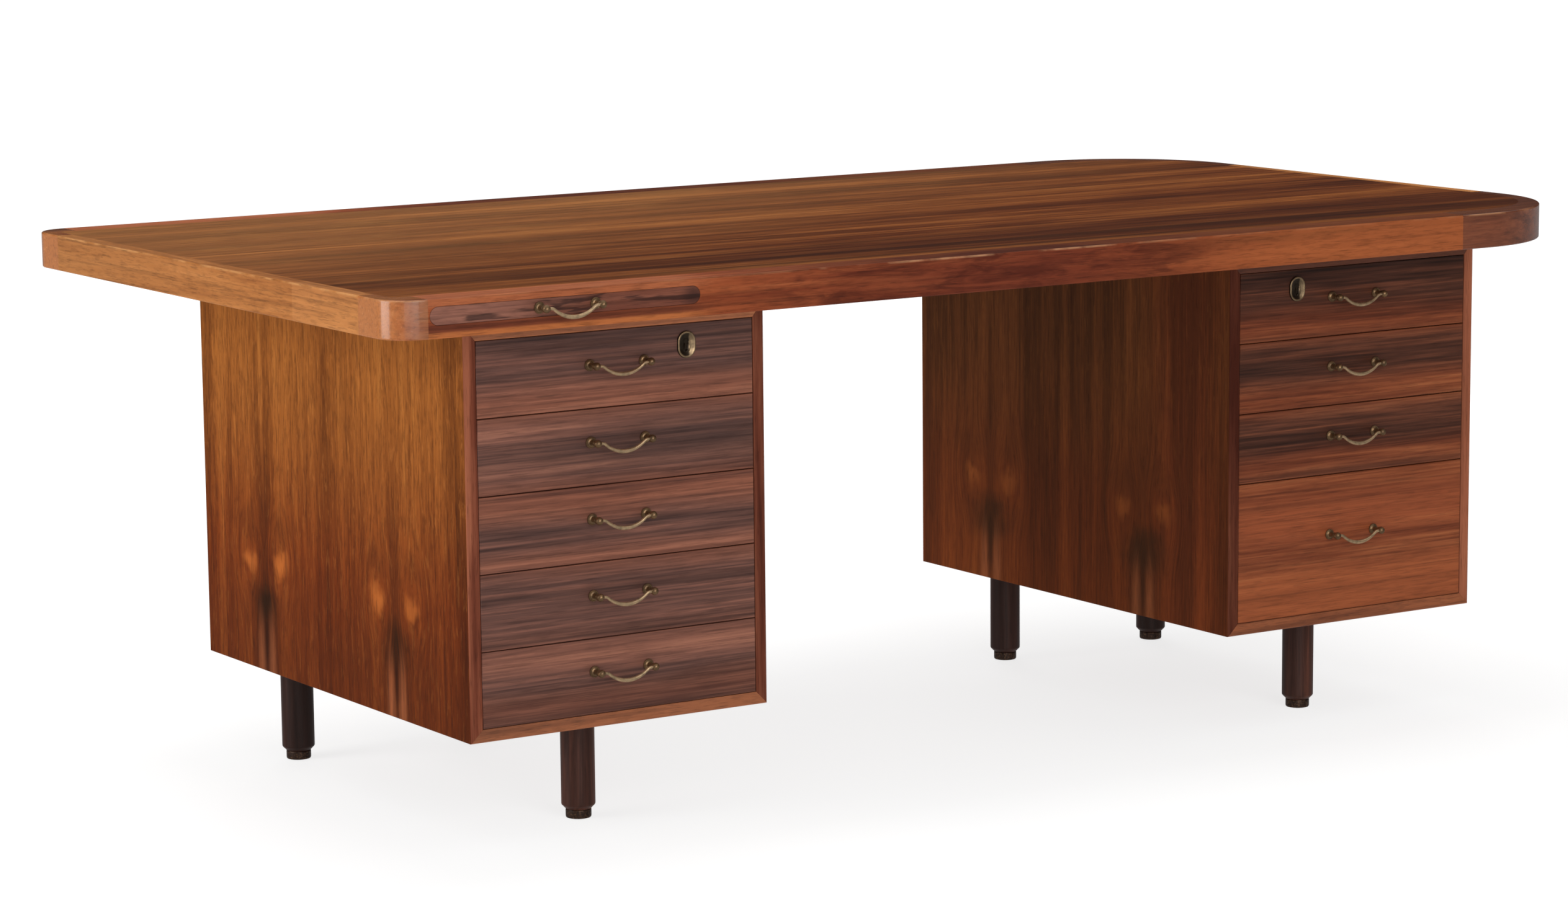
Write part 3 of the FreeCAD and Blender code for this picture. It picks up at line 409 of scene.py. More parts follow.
flame = Finish("rosewood_flame_veneer", Specular_IOR_Level=0.03)
wander = flame.maths("SUBTRACT", flame.noise(flame.place, 24.0, 3.0), 0.5)
from_flame = flame.maths("SUBTRACT", flame.y, CASE_FRONT + FIRST_FLAME)
across_leaf = flame.maths("PINGPONG", from_flame, LEAF_WIDTH)
ragged = flame.maths("MULTIPLY_ADD", wander, 0.022, across_leaf)
ragged_height = flame.maths("MULTIPLY_ADD", wander, 0.05, flame.z)
round_eye = flame.spot(across_leaf, flame.z, EYE, (0.07, 0.11))
off_eye = flame.maths("SUBTRACT", across_leaf, EYE[0])
bent = flame.maths("SUBTRACT", across_leaf, flame.maths("MULTIPLY", flame.faded(round_eye, 0.75), off_eye))
drifted = flame.maths("MULTIPLY_ADD", flame.y, 0.12, flame.x)
leaf_place = flame.add("ShaderNodeCombineXYZ", drifted, bent, flame.z).outputs[0]
tone = flame.grain(leaf_place, UPRIGHT, 0.5, (0.52, 0.27, 0.21))
amber_brown = flame.ramp(tone, (0.34, tint(100, 52, 17)), (0.47, tint(138, 78, 29)),
                         (0.57, tint(162, 96, 39)), (0.68, tint(180, 116, 52)))
red_brown = flame.ramp(tone, (0.34, tint(62, 25, 9)), (0.47, tint(104, 44, 14)), (0.57, tint(130, 60, 20)),
                       (0.68, tint(154, 82, 32)))
side_colour = flame.mix(flame.step(flame.z, 0.6, 0.28), amber_brown, red_brown)
right_case = flame.step(flame.x, -0.1, 0.1)
foot = flame.maths("MULTIPLY", flame.step(flame.z, 0.36, 0.18), flame.step(right_case, 1.0, 0.0))
side_colour = flame.mix(flame.faded(foot, 0.4), side_colour, tint(76, 33, 13))
# Painted shade: the right case's sides are darkened towards the top, for the shade under the top and in the
# kneehole. The outer side gets it too.
shade = flame.maths("MULTIPLY", right_case, flame.step(flame.z, 0.14, 0.62))
side_colour = flame.mix(flame.faded(shade, 0.75), side_colour,
                        flame.ramp(tone, (0.42, tint(40, 20, 11)), (0.6, tint(110, 56, 28))))
red_streak = flame.spot(flame.y, flame.y, (CASE_FRONT + 0.09, CASE_FRONT + 0.09), (0.18, 0.18))
side_colour = flame.mix(flame.faded(flame.maths("MULTIPLY", red_streak, right_case), 0.8), side_colour,
                        flame.ramp(tone, (0.4, tint(80, 32, 14)), (0.6, tint(138, 62, 28))))
fleck_strength = flame.maths("MULTIPLY_ADD", right_case, -0.22, 0.36)
dark_flecks = flame.maths("MULTIPLY", flame.flecks, fleck_strength)
side_colour = flame.mix(dark_flecks, side_colour, tint(64, 28, 10))
short_fibres = flame.stretched(leaf_place, (1.0, 1.0, 0.15))
glints = flame.step(flame.noise(short_fibres, 160.0, 3.0, 0.7, 0.4), 0.54, 0.66)
high_up = flame.maths("MULTIPLY_ADD", flame.step(flame.z, 0.2, 0.56), 0.24, 0.1)
glint_strength = flame.maths("MULTIPLY", high_up, flame.maths("MULTIPLY_ADD", right_case, -0.8, 1.0))
side_colour = flame.mix(flame.maths("MULTIPLY", glints, glint_strength), side_colour, tint(190, 116, 52))
heart = flame.spot(ragged, flame.z, (0.0, 0.33), (0.022, 0.2))
side_colour = flame.mix(flame.faded(heart, 0.35), side_colour, tint(64, 30, 14))
brow = flame.spot(ragged, ragged_height, (0.052, 0.345), (0.052, 0.036))
side_colour = flame.mix(flame.faded(brow, 0.35), side_colour, tint(80, 38, 14))
pale_grain = flame.maths("MULTIPLY_ADD", flame.step(tone, 0.42, 0.6), 0.5, 0.5)
eye = flame.maths("MULTIPLY", flame.spot(ragged, ragged_height, EYE, (0.03, 0.023)), pale_grain)
eye_strength = flame.maths("MULTIPLY_ADD", right_case, -0.35, 0.75)
side_colour = flame.mix(flame.maths("MULTIPLY", eye, eye_strength), side_colour, tint(186, 102, 42))
wide_shadow = flame.maths("MULTIPLY", flame.spot(ragged, ragged_height, (0.0, 0.235), (0.09, 0.055)),
                          flame.maths("MULTIPLY_ADD", right_case, 0.4, 0.25))
side_colour = flame.mix(wide_shadow, side_colour, tint(46, 26, 15))
dark_grain = flame.maths("MULTIPLY_ADD", flame.step(tone, 0.58, 0.44), 0.55, 0.35)
blotch = flame.maths("MULTIPLY", flame.spot(ragged, ragged_height, (0.0, 0.238), (0.052, 0.05)), dark_grain)
side_colour = flame.mix(blotch, side_colour, tint(42, 25, 13))
outlined = flame.maths("MULTIPLY", flame.spot(ragged, flame.z, (0.0, 0.17), (0.064, 0.08)), dark_grain)
side_colour = flame.mix(flame.faded(outlined, 0.8), side_colour, tint(60, 30, 17))
tongue = flame.spot(across_leaf, flame.z, (0.0155, 0.15), (0.016, 0.11))
pale_tongue = flame.faded(flame.maths("MULTIPLY", tongue, pale_grain), 0.75)
side_colour = flame.mix(pale_tongue, side_colour, tint(168, 96, 58))
cleft = flame.spot(across_leaf, flame.z, (0.0, 0.195), (0.009, 0.05))
side_colour = flame.mix(flame.faded(cleft, 0.65), side_colour, tint(44, 22, 12))
side_colour = flame.mix(flame.faded(right_case, 0.09), side_colour, tint(160, 106, 70))
side_wood = flame.oiled(edge_lipping(flame, side_colour), veined=0.16, flecked=0.05)
mesh = drawn("case_sides")
rub(mesh, CASE_ROUND, on_case_front_corner)
rub(mesh, FINE_ROUND, on_case_corner)
add_piece(mesh, "pedestal_sides", "desk", "case_veneer", side_wood, "case_sides")

# The boards across the pedestals are the same veneer with the grain running across, mitred to the sides and
# lipped in front with a paler orange wood that shows as a thin line over and under the drawers. Over the
# drawers the line carries painted light, and on the right case painted shade that darkens it.
cross = Finish("rosewood_cross_board", Specular_IOR_Level=0.3)
tone = cross.grain(cross.place, (0.05, 1.0, 1.0), 0.5)
orange = cross.ramp(tone, (0.34, tint(108, 54, 29)), (0.5, tint(148, 82, 46)), (0.66, tint(180, 110, 64)))
orange = cross.mix(cross.faded(cross.step(cross.x, 0.1, -0.1), 0.3), orange, tint(188, 118, 76))
# Painted light: the top rails over the drawers are paled.
rail = cross.step(cross.z, 0.4, 0.6)
orange = cross.mix(cross.faded(rail, 0.3), orange, tint(206, 126, 80))
# Painted shade: the right case's top rail is darkened.
shaded_right_rail = cross.maths("MULTIPLY", rail, cross.step(cross.x, -0.1, 0.1))
orange = cross.mix(cross.faded(shaded_right_rail, 0.85), orange, tint(80, 42, 30))
deep = cross.ramp(tone, (0.34, tint(58, 28, 18)), (0.5, tint(92, 48, 28)), (0.66, tint(120, 68, 42)))
cross_wood = cross.oiled(cross.mix(lipped_edge(cross), deep, orange))
for node, name in (("case_tops", "pedestal_tops"), ("case_bottoms", "pedestal_bottoms")):
    mesh = drawn(node)
    rub(mesh, CASE_ROUND, on_case_front_corner)
    rub(mesh, FINE_ROUND, on_case_corner)
    add_piece(mesh, name, "desk", "case_veneer", cross_wood, node)

# The pedestal backs are thin veneered panels with upright grain, a plainer leaf than the sides. They are let
# in between the case boards and pinned.
back = Finish("rosewood_back_panel", Specular_IOR_Level=0.25)
tone = back.grain(back.place, UPRIGHT, 0.7)
plain = back.ramp(tone, (0.34, tint(66, 32, 18)), (0.48, tint(108, 56, 28)), (0.58, tint(132, 76, 38)),
                  (0.68, tint(152, 96, 54)))
frame["nodes"]["case_backs"].data.materials[0] = back.oiled(plain, 0.4, 0.58)

# The legs are plain cylinders turned from a dark hardwood, stained nearly black, with a bevelled foot. A
# tenon goes up into the pedestal bottom.
PEDESTAL_MIDDLE, BACK_SPREAD = 0.604, 0.14
FRONT_LEG, BACK_LEG = 0.116, 0.647
LEG_SPOTS = [(side * (PEDESTAL_MIDDLE + aside), CASE_FRONT + along) for side in (-1, 1)
             for aside, along in ((0.0, FRONT_LEG), (BACK_SPREAD, BACK_LEG), (-BACK_SPREAD, BACK_LEG))]
LEG_OUTLINE = ((0.0, 0.012), (0.0162, 0.012), (0.0171, 0.0125), (0.0219, 0.0174), (0.0224, 0.0184),
               (0.0225, 0.02), (0.0225, 0.08), (0.0225, 0.1442), (0.0221, 0.145), (0.01, 0.145),
               (0.01, 0.157), (0.0, 0.157))


def turn(mesh, outline, sides, stand):
    """Spin an outline of radius and height round +Z and add it to a mesh, moved by the matrix stand."""
    angles = [2 * math.pi * number / sides for number in range(sides)]
    rings = []
    for radius, height in outline:
        spots = [(radius * math.cos(angle), radius * math.sin(angle)) for angle in angles]
        if radius < 1e-7:
            spots = [(0.0, 0.0)]
        rings.append([mesh.verts.new(stand @ Vector((x, y, height))) for x, y in spots])
    for lower, upper in zip(rings, rings[1:]):
        for number in range(sides):
            after = (number + 1) % sides
            corners = [lower[number % len(lower)], lower[after % len(lower)],
                       upper[after % len(upper)], upper[number % len(upper)]]
            mesh.faces.new(list(dict.fromkeys(corners)))


ebonised = Finish("ebonised_leg_wood", Specular_IOR_Level=0.25)
tone = ebonised.grain(ebonised.place, UPRIGHT, 0.4)
black_brown = ebonised.ramp(tone, (0.36, tint(32, 16, 11)), (0.5, tint(68, 37, 27)),
                            (0.66, tint(114, 64, 46)))
# Painted shade: the back legs, further under the desk, are darkened.
behind = ebonised.step(ebonised.y, -0.2, 0.1)
black_brown = ebonised.mix(ebonised.faded(behind, 0.7), black_brown, tint(34, 18, 13))
leg_wood = ebonised.oiled(black_brown, 0.3, 0.45)
mesh = bmesh.new()
for x, y in LEG_SPOTS:
    turn(mesh, LEG_OUTLINE, 64, Matrix.Translation((x, y, 0.0)))
add_piece(mesh, "turned_legs", "desk", "leg_wood", leg_wood, "legs")

# A turned bronzed glide is pinned under each leg and carries the desk on the floor. Its pin goes up into the
# end grain of the leg.
GLIDE_OUTLINE = ((0.0, 0.0), (0.0146, 0.0), (0.0161, 0.0004), (0.0168, 0.0014), (0.017, 0.003),
                 (0.017, 0.0105), (0.0167, 0.0115), (0.016, 0.012), (0.003, 0.012), (0.003, 0.027),
                 (0.0, 0.027))
bronze = Finish("bronzed_glide", Metallic=0.6)
speckle = bronze.noise(bronze.place, 420.0, 4.0, 0.65)
mottled = bronze.ramp(speckle, (0.35, tint(30, 19, 13)), (0.54, tint(62, 41, 29)), (0.7, tint(112, 82, 58)))
bronze.feed(bronze.shader.inputs["Base Color"], mottled)
bronze.feed(bronze.shader.inputs["Roughness"],
            bronze.add("ShaderNodeMapRange", speckle, 0.3, 0.7, 0.52, 0.3).outputs[0])
mesh = bmesh.new()
for x, y in LEG_SPOTS:
    turn(mesh, GLIDE_OUTLINE, 64, Matrix.Translation((x, y, 0.0)))
add_piece(mesh, "foot_glides", "desk", "glide", bronze.material, "leg_glides")

# The drawer fronts are veneered with the grain across, all from one flitch: dark purplish wood with paler
# red bands that fall near the joints. The left-hand stack is paler and greyer with a painted sheen for the
# reflection on its fronts. The right-hand stack is redder and its deep bottom drawer is orange.
ACROSS_FRONT = (0.02, 1.0, 1.0)
FINE_STREAKS = (0.34, 0.36, 0.3)
FACE_ROUND = 0.0008
LEFT_DRAWERS = ["left_drawer_%d" % number for number in range(1, 6)]
RIGHT_DRAWERS = ["right_drawer_%d" % number for number in range(1, 5)]
DRAWERS = LEFT_DRAWERS + RIGHT_DRAWERS


def banded(finish, colour, pale, bands):
    """Lay paler bands across a stack of fronts: each is a height, a half width and a strength."""
    waves = finish.noise(finish.stretched(finish.place, (1.0, 0.0, 4.0)), 3.0, 2.0)
    wavy = finish.maths("MULTIPLY_ADD", waves, 0.03, finish.z)
    for height, half, strength in bands:
        off = finish.maths("ABSOLUTE", finish.maths("SUBTRACT", wavy, height + 0.015))
        colour = finish.mix(finish.faded(finish.step(off, half, 0.0), strength), colour, pale)
    return colour


left_front = Finish("rosewood_left_fronts", Specular_IOR_Level=0.25)
tone = left_front.grain(left_front.place, ACROSS_FRONT, 0.8, FINE_STREAKS)
# Painted sheen: the left fronts' colours are lifted paler and greyer for the reflection on them.
purple_brown_and_sheen = left_front.ramp(tone, (0.37, tint(52, 34, 31)), (0.48, tint(100, 65, 55)),
                               (0.55, tint(128, 82, 67)), (0.64, tint(160, 105, 83)))
smoky = left_front.spot(left_front.x, left_front.z, (-0.5, 0.57), (0.3, 0.16))
purple_brown_and_sheen = left_front.mix(left_front.faded(smoky, 0.45), purple_brown_and_sheen, tint(58, 42, 40))
dark_heart = left_front.spot(left_front.x, left_front.z, (-0.55, 0.502), (0.5, 0.034))
purple_brown_and_sheen = left_front.mix(left_front.faded(dark_heart, 0.5), purple_brown_and_sheen, tint(62, 42, 37))
red_band = left_front.ramp(tone, (0.34, tint(100, 56, 42)), (0.5, tint(148, 88, 64)),
                           (0.66, tint(176, 112, 84)))
left_colour = banded(left_front, purple_brown_and_sheen, red_band,
                     ((0.57, 0.04, 0.8), (0.442, 0.04, 1.0), (0.365, 0.03, 0.6), (0.25, 0.04, 0.3),
                      (0.18, 0.035, 0.7)))
right_front = Finish("rosewood_right_fronts", Specular_IOR_Level=0.15)
tone = right_front.grain(right_front.place, ACROSS_FRONT, 0.8, FINE_STREAKS)
dark_brown = right_front.ramp(tone, (0.37, tint(40, 24, 19)), (0.48, tint(78, 44, 31)),
                              (0.55, tint(104, 58, 39)), (0.64, tint(130, 76, 50)))
red_wood = right_front.ramp(tone, (0.37, tint(82, 37, 21)), (0.48, tint(116, 57, 32)),
                            (0.55, tint(136, 71, 40)), (0.64, tint(158, 91, 53)))
right_colour = banded(right_front, dark_brown, red_wood,
                      ((0.575, 0.035, 1.0), (0.475, 0.035, 1.0), (0.38, 0.03, 0.9)))
bottom_drawer = right_front.step(right_front.z, 0.3605, 0.3585)
orange_foot = right_front.step(right_front.z, 0.245, 0.205)
red_wood = right_front.mix(right_front.faded(orange_foot, 0.45), red_wood, tint(182, 98, 54))
paler_middle = right_front.spot(right_front.z, right_front.z, (0.3, 0.3), (0.07, 0.07))
red_wood = right_front.mix(right_front.faded(paler_middle, 0.4), red_wood, tint(178, 92, 52))
right_colour = right_front.mix(bottom_drawer, right_colour, red_wood)
front_woods = {"left": left_front.oiled(left_colour), "right": right_front.oiled(right_colour)}
for drawer in DRAWERS:
    node = drawer + "_front"
    low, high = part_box(node)

    def on_face_edge(middle, direction):
        upright = min(abs(middle.x - low.x), abs(middle.x - high.x))
        level = min(abs(middle.z - low.z), abs(middle.z - high.z))
        return abs(middle.y - low.y) < 1e-5 and min(upright, level) < 1e-5

    mesh = drawn(node)
    rub(mesh, FACE_ROUND, on_face_edge)
    add_piece(mesh, drawer + "_face", drawer, "front_veneer", front_woods[drawer.split("_")[0]], node)

# The drawer boxes are plain pale hardwood, sanded and waxed, with a thin bottom let into grooves and grooves
# outside for the runners.
box_finish = Finish("waxed_drawer_wood", Specular_IOR_Level=0.25)
tone = box_finish.grain(box_finish.place, (1.0, 0.05, 1.0), 0.4)
box_wood = box_finish.oiled(box_finish.ramp(tone, (0.34, tint(160, 118, 76)), (0.5, tint(190, 150, 102)),
                                            (0.66, tint(208, 172, 126))), 0.45, 0.62)
for drawer in DRAWERS:
    frame["nodes"][drawer + "_box"].data.materials[0] = box_wood

# The leaf is a veneered board that slides in the top on its strips. A dark round-ended strip is glued on as
# its front and fills the slot in the edge when the leaf is in.
dark_strip = Finish("rosewood_leaf_strip", Specular_IOR_Level=0.18)
tone = dark_strip.grain(dark_strip.place, ALONG_LENGTH, 0.8)
strip_colour = dark_strip.ramp(tone, (0.38, tint(46, 23, 18)), (0.48, tint(88, 49, 39)),
                               (0.57, tint(118, 72, 56)), (0.66, tint(142, 92, 74)))
left_end = dark_strip.step(dark_strip.x, -0.72, -0.86)
strip_colour = dark_strip.mix(dark_strip.faded(left_end, 0.45), strip_colour, tint(160, 106, 88))
right_end = dark_strip.step(dark_strip.x, -0.76, -0.64)
strip_colour = dark_strip.mix(dark_strip.faded(right_end, 0.35), strip_colour, tint(122, 58, 34))
dash_noise = dark_strip.noise(dark_strip.stretched(dark_strip.place, (0.12, 1.0, 1.0)), 130.0, 2.0)
dashes = dark_strip.step(dash_noise, 0.57, 0.64)
strip_colour = dark_strip.mix(dark_strip.faded(dashes, 0.7), strip_colour, tint(40, 20, 17))
# Painted shade: the round right end is darkened where the gap round it in the slot falls in shadow.
end_gap_shade = dark_strip.spot(dark_strip.x, dark_strip.z, (-0.55, 0.704), (0.026, 0.02))
strip_colour = dark_strip.mix(dark_strip.faded(end_gap_shade, 0.7), strip_colour, tint(44, 24, 20))
strip_wood = dark_strip.oiled(strip_colour)


def on_strip_edge(middle, direction):
    on_front = abs(middle.y - TOP_LOW.y) < 1e-5 and depth_in_top(middle) < 0.0006
    return on_front and abs(direction.y) < 0.1


mesh = drawn("leaf_front")
rub(mesh, FACE_ROUND, on_strip_edge)
add_piece(mesh, "leaf_strip", "leaf", "leaf_wood", strip_wood, "leaf_front")
frame["nodes"]["leaf_board"].data.materials[0] = top_veneer

# The pulls are aged brass: two turned posts with ball heads on rosettes, and a bail whose ends pivot in the
# heads. The bail swells towards the middle, where hands have kept it bright.
POST_SPACING, POST_REACH, HEAD = 0.08, 0.018, 0.00525
ROD, SWELL, DROP, BEND = 0.002, 0.0008, 0.0125, 0.008
HALF_SPAN = POST_SPACING / 2 - HEAD - 0.001
PIN_END = POST_SPACING / 2 + HEAD - 0.001
POST_OUTLINE = [(0.0, -0.015), (0.0025, -0.015), (0.0025, 0.0), (0.0074, 0.0), (0.0075, 0.0011),
                (0.0072, 0.0018), (0.0065, 0.0023), (0.0058, 0.0021), (0.0054, 0.0025), (0.0047, 0.0028),
                (0.0037, 0.0032), (0.0033, 0.005), (0.0031, 0.008), (0.0032, 0.0108), (0.0039, 0.0116),
                (0.0041, 0.0122), (0.0039, 0.0128), (0.0034, 0.0134), (0.0034, 0.0152), (0.0, 0.0152)]


def bead(radius, bore, count):
    """The outline of a ball head with a hole through it, going round to where it starts."""
    first = math.asin(bore / radius)
    angles = [first + (math.pi - 2 * first) * number / count for number in range(count + 1)]
    outside = [(radius * math.sin(angle), -radius * math.cos(angle)) for angle in angles]
    return outside + outside[:1]


HEAD_OUTLINE = bead(HEAD, ROD + 0.00005, 18)


def bail_line():
    """Points along the bail, seen from the front: pin, bend, bow, bend and pin. Each has its direction."""
    turn_angle = 2 * math.atan(DROP / HALF_SPAN)
    bow = HALF_SPAN / math.sin(turn_angle) - BEND
    points = [(-PIN_END, 0.0, 0.0), (-HALF_SPAN - 0.002, 0.0, 0.0)]
    for number in range(7):
        angle = turn_angle * number / 6
        points.append((-HALF_SPAN + BEND * math.sin(angle), BEND * (math.cos(angle) - 1), -angle))
    for number in range(1, 24):
        angle = turn_angle * (number / 12 - 1)
        points.append((bow * math.sin(angle), bow * (1 - math.cos(angle)) - DROP, angle))
    mirrored = [(-x, z, -angle) for x, z, angle in points[:9]]
    return points + mirrored[::-1]


def tube(mesh, line, thickness, sides, origin):
    """A round rod along a line in an upright plane, with a radius at each point and closed ends."""
    rings = []
    for (x, z, angle), radius in zip(line, thickness):
        ring = []
        for number in range(sides):
            turned = 2 * math.pi * number / sides
            out, off = radius * math.cos(turned), radius * math.sin(turned)
            spot = Vector((x - off * math.sin(angle), out, z + off * math.cos(angle)))
            ring.append(mesh.verts.new(origin + spot))
        rings.append(ring)
    for first, second in zip(rings, rings[1:]):
        for number in range(sides):
            after = (number + 1) % sides
            mesh.faces.new((first[number], first[after], second[after], second[number]))
    mesh.faces.new(rings[0][::-1])
    mesh.faces.new(rings[-1])
    bmesh.ops.recalc_face_normals(mesh, faces=mesh.faces)


def aged_brass(name, bright, well=None):
    """Brass gone brown and rubbed back to its colour. A well, at a depth and a middle line, gets painted shade
    but for its right-hand wall.
    """
    finish = Finish(name, Metallic=0.75)
    cloud = finish.noise(finish.place, 140.0, 4.0, 0.6)
    worn = finish.ramp(cloud, (0.3, tint(*[round(0.68 * c) for c in bright])),
                       (0.48, tint(*[round(0.88 * c) for c in bright])), (0.66, tint(*bright)))
    if well:
        depth, middle = well
        sunk = finish.step(finish.y, depth - 0.0004, depth)
        to_right = finish.maths("MULTIPLY_ADD", finish.maths("SIGN", finish.x), -middle, finish.x)
        # Painted light: the well's right-hand wall is spared the painted shade, as if lit from the left.
        lit_right_wall = finish.maths("MULTIPLY", finish.step(to_right, 0.0026, 0.005),
                                  finish.step(finish.y, CASE_FRONT, CASE_FRONT - 0.0004))
        # Painted shade: the rest of the well is darkened.
        well_shade = finish.maths("SUBTRACT", sunk, finish.faded(lit_right_wall, 0.75))
        worn = finish.mix(finish.faded(well_shade, 0.92), worn, tint(30, 22, 16))
    finish.feed(finish.shader.inputs["Base Color"], worn)
    finish.feed(finish.shader.inputs["Roughness"],
                finish.add("ShaderNodeMapRange", cloud, 0.3, 0.7, 0.46, 0.24).outputs[0])
    scratches = finish.add("ShaderNodeBump")
    scratches.inputs["Strength"].default_value = 0.3
    scratches.inputs["Distance"].default_value = 0.0001
    finish.feed(scratches.inputs["Height"], finish.noise(finish.place, 900.0, 2.0))
    finish.feed(finish.shader.inputs["Normal"], scratches.outputs[0])
    return finish.material


post_brass = aged_brass("aged_brass_post", (138, 108, 76))
bail_brass = aged_brass("rubbed_brass_bail", (208, 176, 136))
LINE = bail_line()
THICKNESS = [ROD + (SWELL * math.cos(math.pi / 2 * x / HALF_SPAN) ** 2 if abs(x) < HALF_SPAN else 0.0)
             for x, z, angle in LINE]
for owner in DRAWERS + ["leaf"]:
    low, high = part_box(owner + "_pull_bail")
    pivot = Vector(((low.x + high.x) / 2, (low.y + high.y) / 2, high.z - ROD))
    mesh = bmesh.new()
    for side in (-1, 1):
        spot = pivot + Vector((side * POST_SPACING / 2, POST_REACH, 0.0))
        turn(mesh, POST_OUTLINE, 32, Matrix.Translation(spot) @ Matrix.Rotation(math.radians(90), 4, "X"))
        reach = Matrix.Translation(spot - Vector((0.0, POST_REACH, 0.0)))
        turn(mesh, HEAD_OUTLINE, 32, reach @ Matrix.Rotation(math.radians(90), 4, "Y"))
    bmesh.ops.remove_doubles(mesh, verts=mesh.verts, dist=1e-7)
    bmesh.ops.recalc_face_normals(mesh, faces=mesh.faces)
    add_piece(mesh, owner + "_posts", owner, "brass", post_brass, owner + "_pull_posts")
    mesh = bmesh.new()
    tube(mesh, LINE, THICKNESS, 20, pivot)
    bail_body = next(body for body, nodes in frame["record"]["behaviour"]["bodies"].items()
                     if owner + "_pull_bail" in nodes)
    add_piece(mesh, owner + "_bail", bail_body, "brass", bail_brass, owner + "_pull_bail")

# The locks are cast brass: a dished oval escutcheon with a rounded rim, pinned on the face of each top
# drawer, and behind it the lock case let into the back of the front. The dish has painted shade but for its
# right-hand wall, which is left bright as if lit from the left.
lock_low, lock_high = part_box("right_drawer_1_lock")
LOCK_PLACE = (lock_low.x + lock_high.x) / 2
lock_brass = aged_brass("aged_brass_lock", (164, 138, 104), (CASE_FRONT - 0.0019, LOCK_PLACE))
PLATE_WIDTH, PLATE_HEIGHT = 0.027, 0.035
KEYHOLE_RADIUS, KEYHOLE_SLOT, KEYHOLE_HEIGHT, KEYHOLE_DEPTH = 0.00325, 0.0016, 0.014, 0.008
RIM = ((0.0, 0.0), (0.0, 0.0014), (0.0003, 0.002), (0.0009, 0.0025), (0.0016, 0.0026), (0.0022, 0.0024),
       (0.0028, 0.0021), (0.0064, 0.0009), (0.0074, 0.0006))
OVAL_POINTS = 56


def oval(inset):
    """An upright slot shape inside the plate's outline, by a distance."""
    radius = PLATE_WIDTH / 2 - inset
    straight = (PLATE_HEIGHT - PLATE_WIDTH) / 2
    points = []
    for number in range(OVAL_POINTS):
        angle = 2 * math.pi * (number + 0.5) / OVAL_POINTS
        lift = straight if math.sin(angle) > 0 else -straight
        points.append((radius * math.cos(angle), radius * math.sin(angle) + lift))
    return points


def keyhole():
    """The keyhole's outline with as many points as the oval, met by rays from the hole's middle."""
    middle = KEYHOLE_HEIGHT / 2 - KEYHOLE_RADIUS
    points = []
    for number in range(OVAL_POINTS):
        angle = 2 * math.pi * (number + 0.5) / OVAL_POINTS
        across, up = math.cos(angle), math.sin(angle)
        reach = KEYHOLE_RADIUS
        if up < 0:
            to_side = KEYHOLE_SLOT / max(abs(across), 1e-6)
            to_foot = (middle + KEYHOLE_HEIGHT / 2) / -up
            reach = max(reach, min(to_side, to_foot))
        points.append((reach * across, middle + reach * up))
    return points


for drawer in ("left_drawer_1", "right_drawer_1"):
    node = drawer + "_lock"
    mesh = drawn(node)
    on_face = [vertex for vertex in mesh.verts if vertex.co.y < CASE_FRONT + 0.001]
    xs = [vertex.co.x for vertex in on_face]
    zs = [vertex.co.z for vertex in on_face]
    origin = Vector(((min(xs) + max(xs)) / 2, CASE_FRONT, (min(zs) + max(zs)) / 2))
    bmesh.ops.delete(mesh, geom=on_face, context="VERTS")
    outlines = [(oval(inset), height) for inset, height in RIM]
    outlines += [(keyhole(), RIM[-1][1]), (keyhole(), -KEYHOLE_DEPTH)]
    rings = []
    for outline, height in outlines:
        rings.append([mesh.verts.new(origin + Vector((x, -height, z))) for x, z in outline])
    for outer, inner in zip(rings, rings[1:]):
        for number in range(OVAL_POINTS):
            after = (number + 1) % OVAL_POINTS
            mesh.faces.new((outer[number], outer[after], inner[after], inner[number]))
    mesh.faces.new(rings[0][::-1])
    bmesh.ops.recalc_face_normals(mesh, faces=mesh.faces)
    add_piece(mesh, drawer + "_escutcheon_and_lock", drawer, "brass", lock_brass, node)
    frame["nodes"][drawer + "_lock_bolt"].data.materials[0] = lock_brass

# The room: a plain pale floor without an end, soft light from windows on the left, in front and behind and
# from the ceiling, and a card that only shows in the polish. The camera stands to the left of the desk, and
# its picture is cropped, so that the lens points to the left of the middle and below it.
FRAME_WIDTH, FOCAL_PIXELS = 2527, 7222.1
CENTRE_RIGHT, CENTRE_UP = 40.4, 91.7
CAMERA_PLACE = (-3.4756, -5.2649, 1.3558)
YAW, PITCH, ROLL = (math.radians(angle) for angle in (32.4903, -9.4154, -0.5972))
floor_mesh = bmesh.new()
bmesh.ops.create_grid(floor_mesh, x_segments=1, y_segments=1, size=40.0)
floor_data = bpy.data.meshes.new("floor")
floor_mesh.to_mesh(floor_data)
floor_mesh.free()
floor = bpy.data.objects.new("floor", floor_data)
bpy.context.scene.collection.objects.link(floor)
floor_finish = Finish("pale_floor", Roughness=0.9, Specular_IOR_Level=0.0)
floor_finish.feed(floor_finish.shader.inputs["Base Color"],
                  floor_finish.ramp(floor_finish.noise(floor_finish.place, 0.8, 2.0),
                                    (0.3, tint(150, 150, 150)), (0.7, tint(158, 158, 157))))
floor_finish.shader.inputs["Emission Color"].default_value = (1.0, 1.0, 1.0, 1.0)
away = floor_finish.add("ShaderNodeVectorMath", floor_finish.place, operation="LENGTH").outputs["Value"]
glow = floor_finish.add("ShaderNodeMapRange", away, 1.2, 3.5, 0.78, 1.0, interpolation_type="SMOOTHSTEP")
floor_finish.feed(floor_finish.shader.inputs["Emission Strength"], glow.outputs[0])
floor_data.materials.append(floor_finish.material)
floor.visible_glossy = False

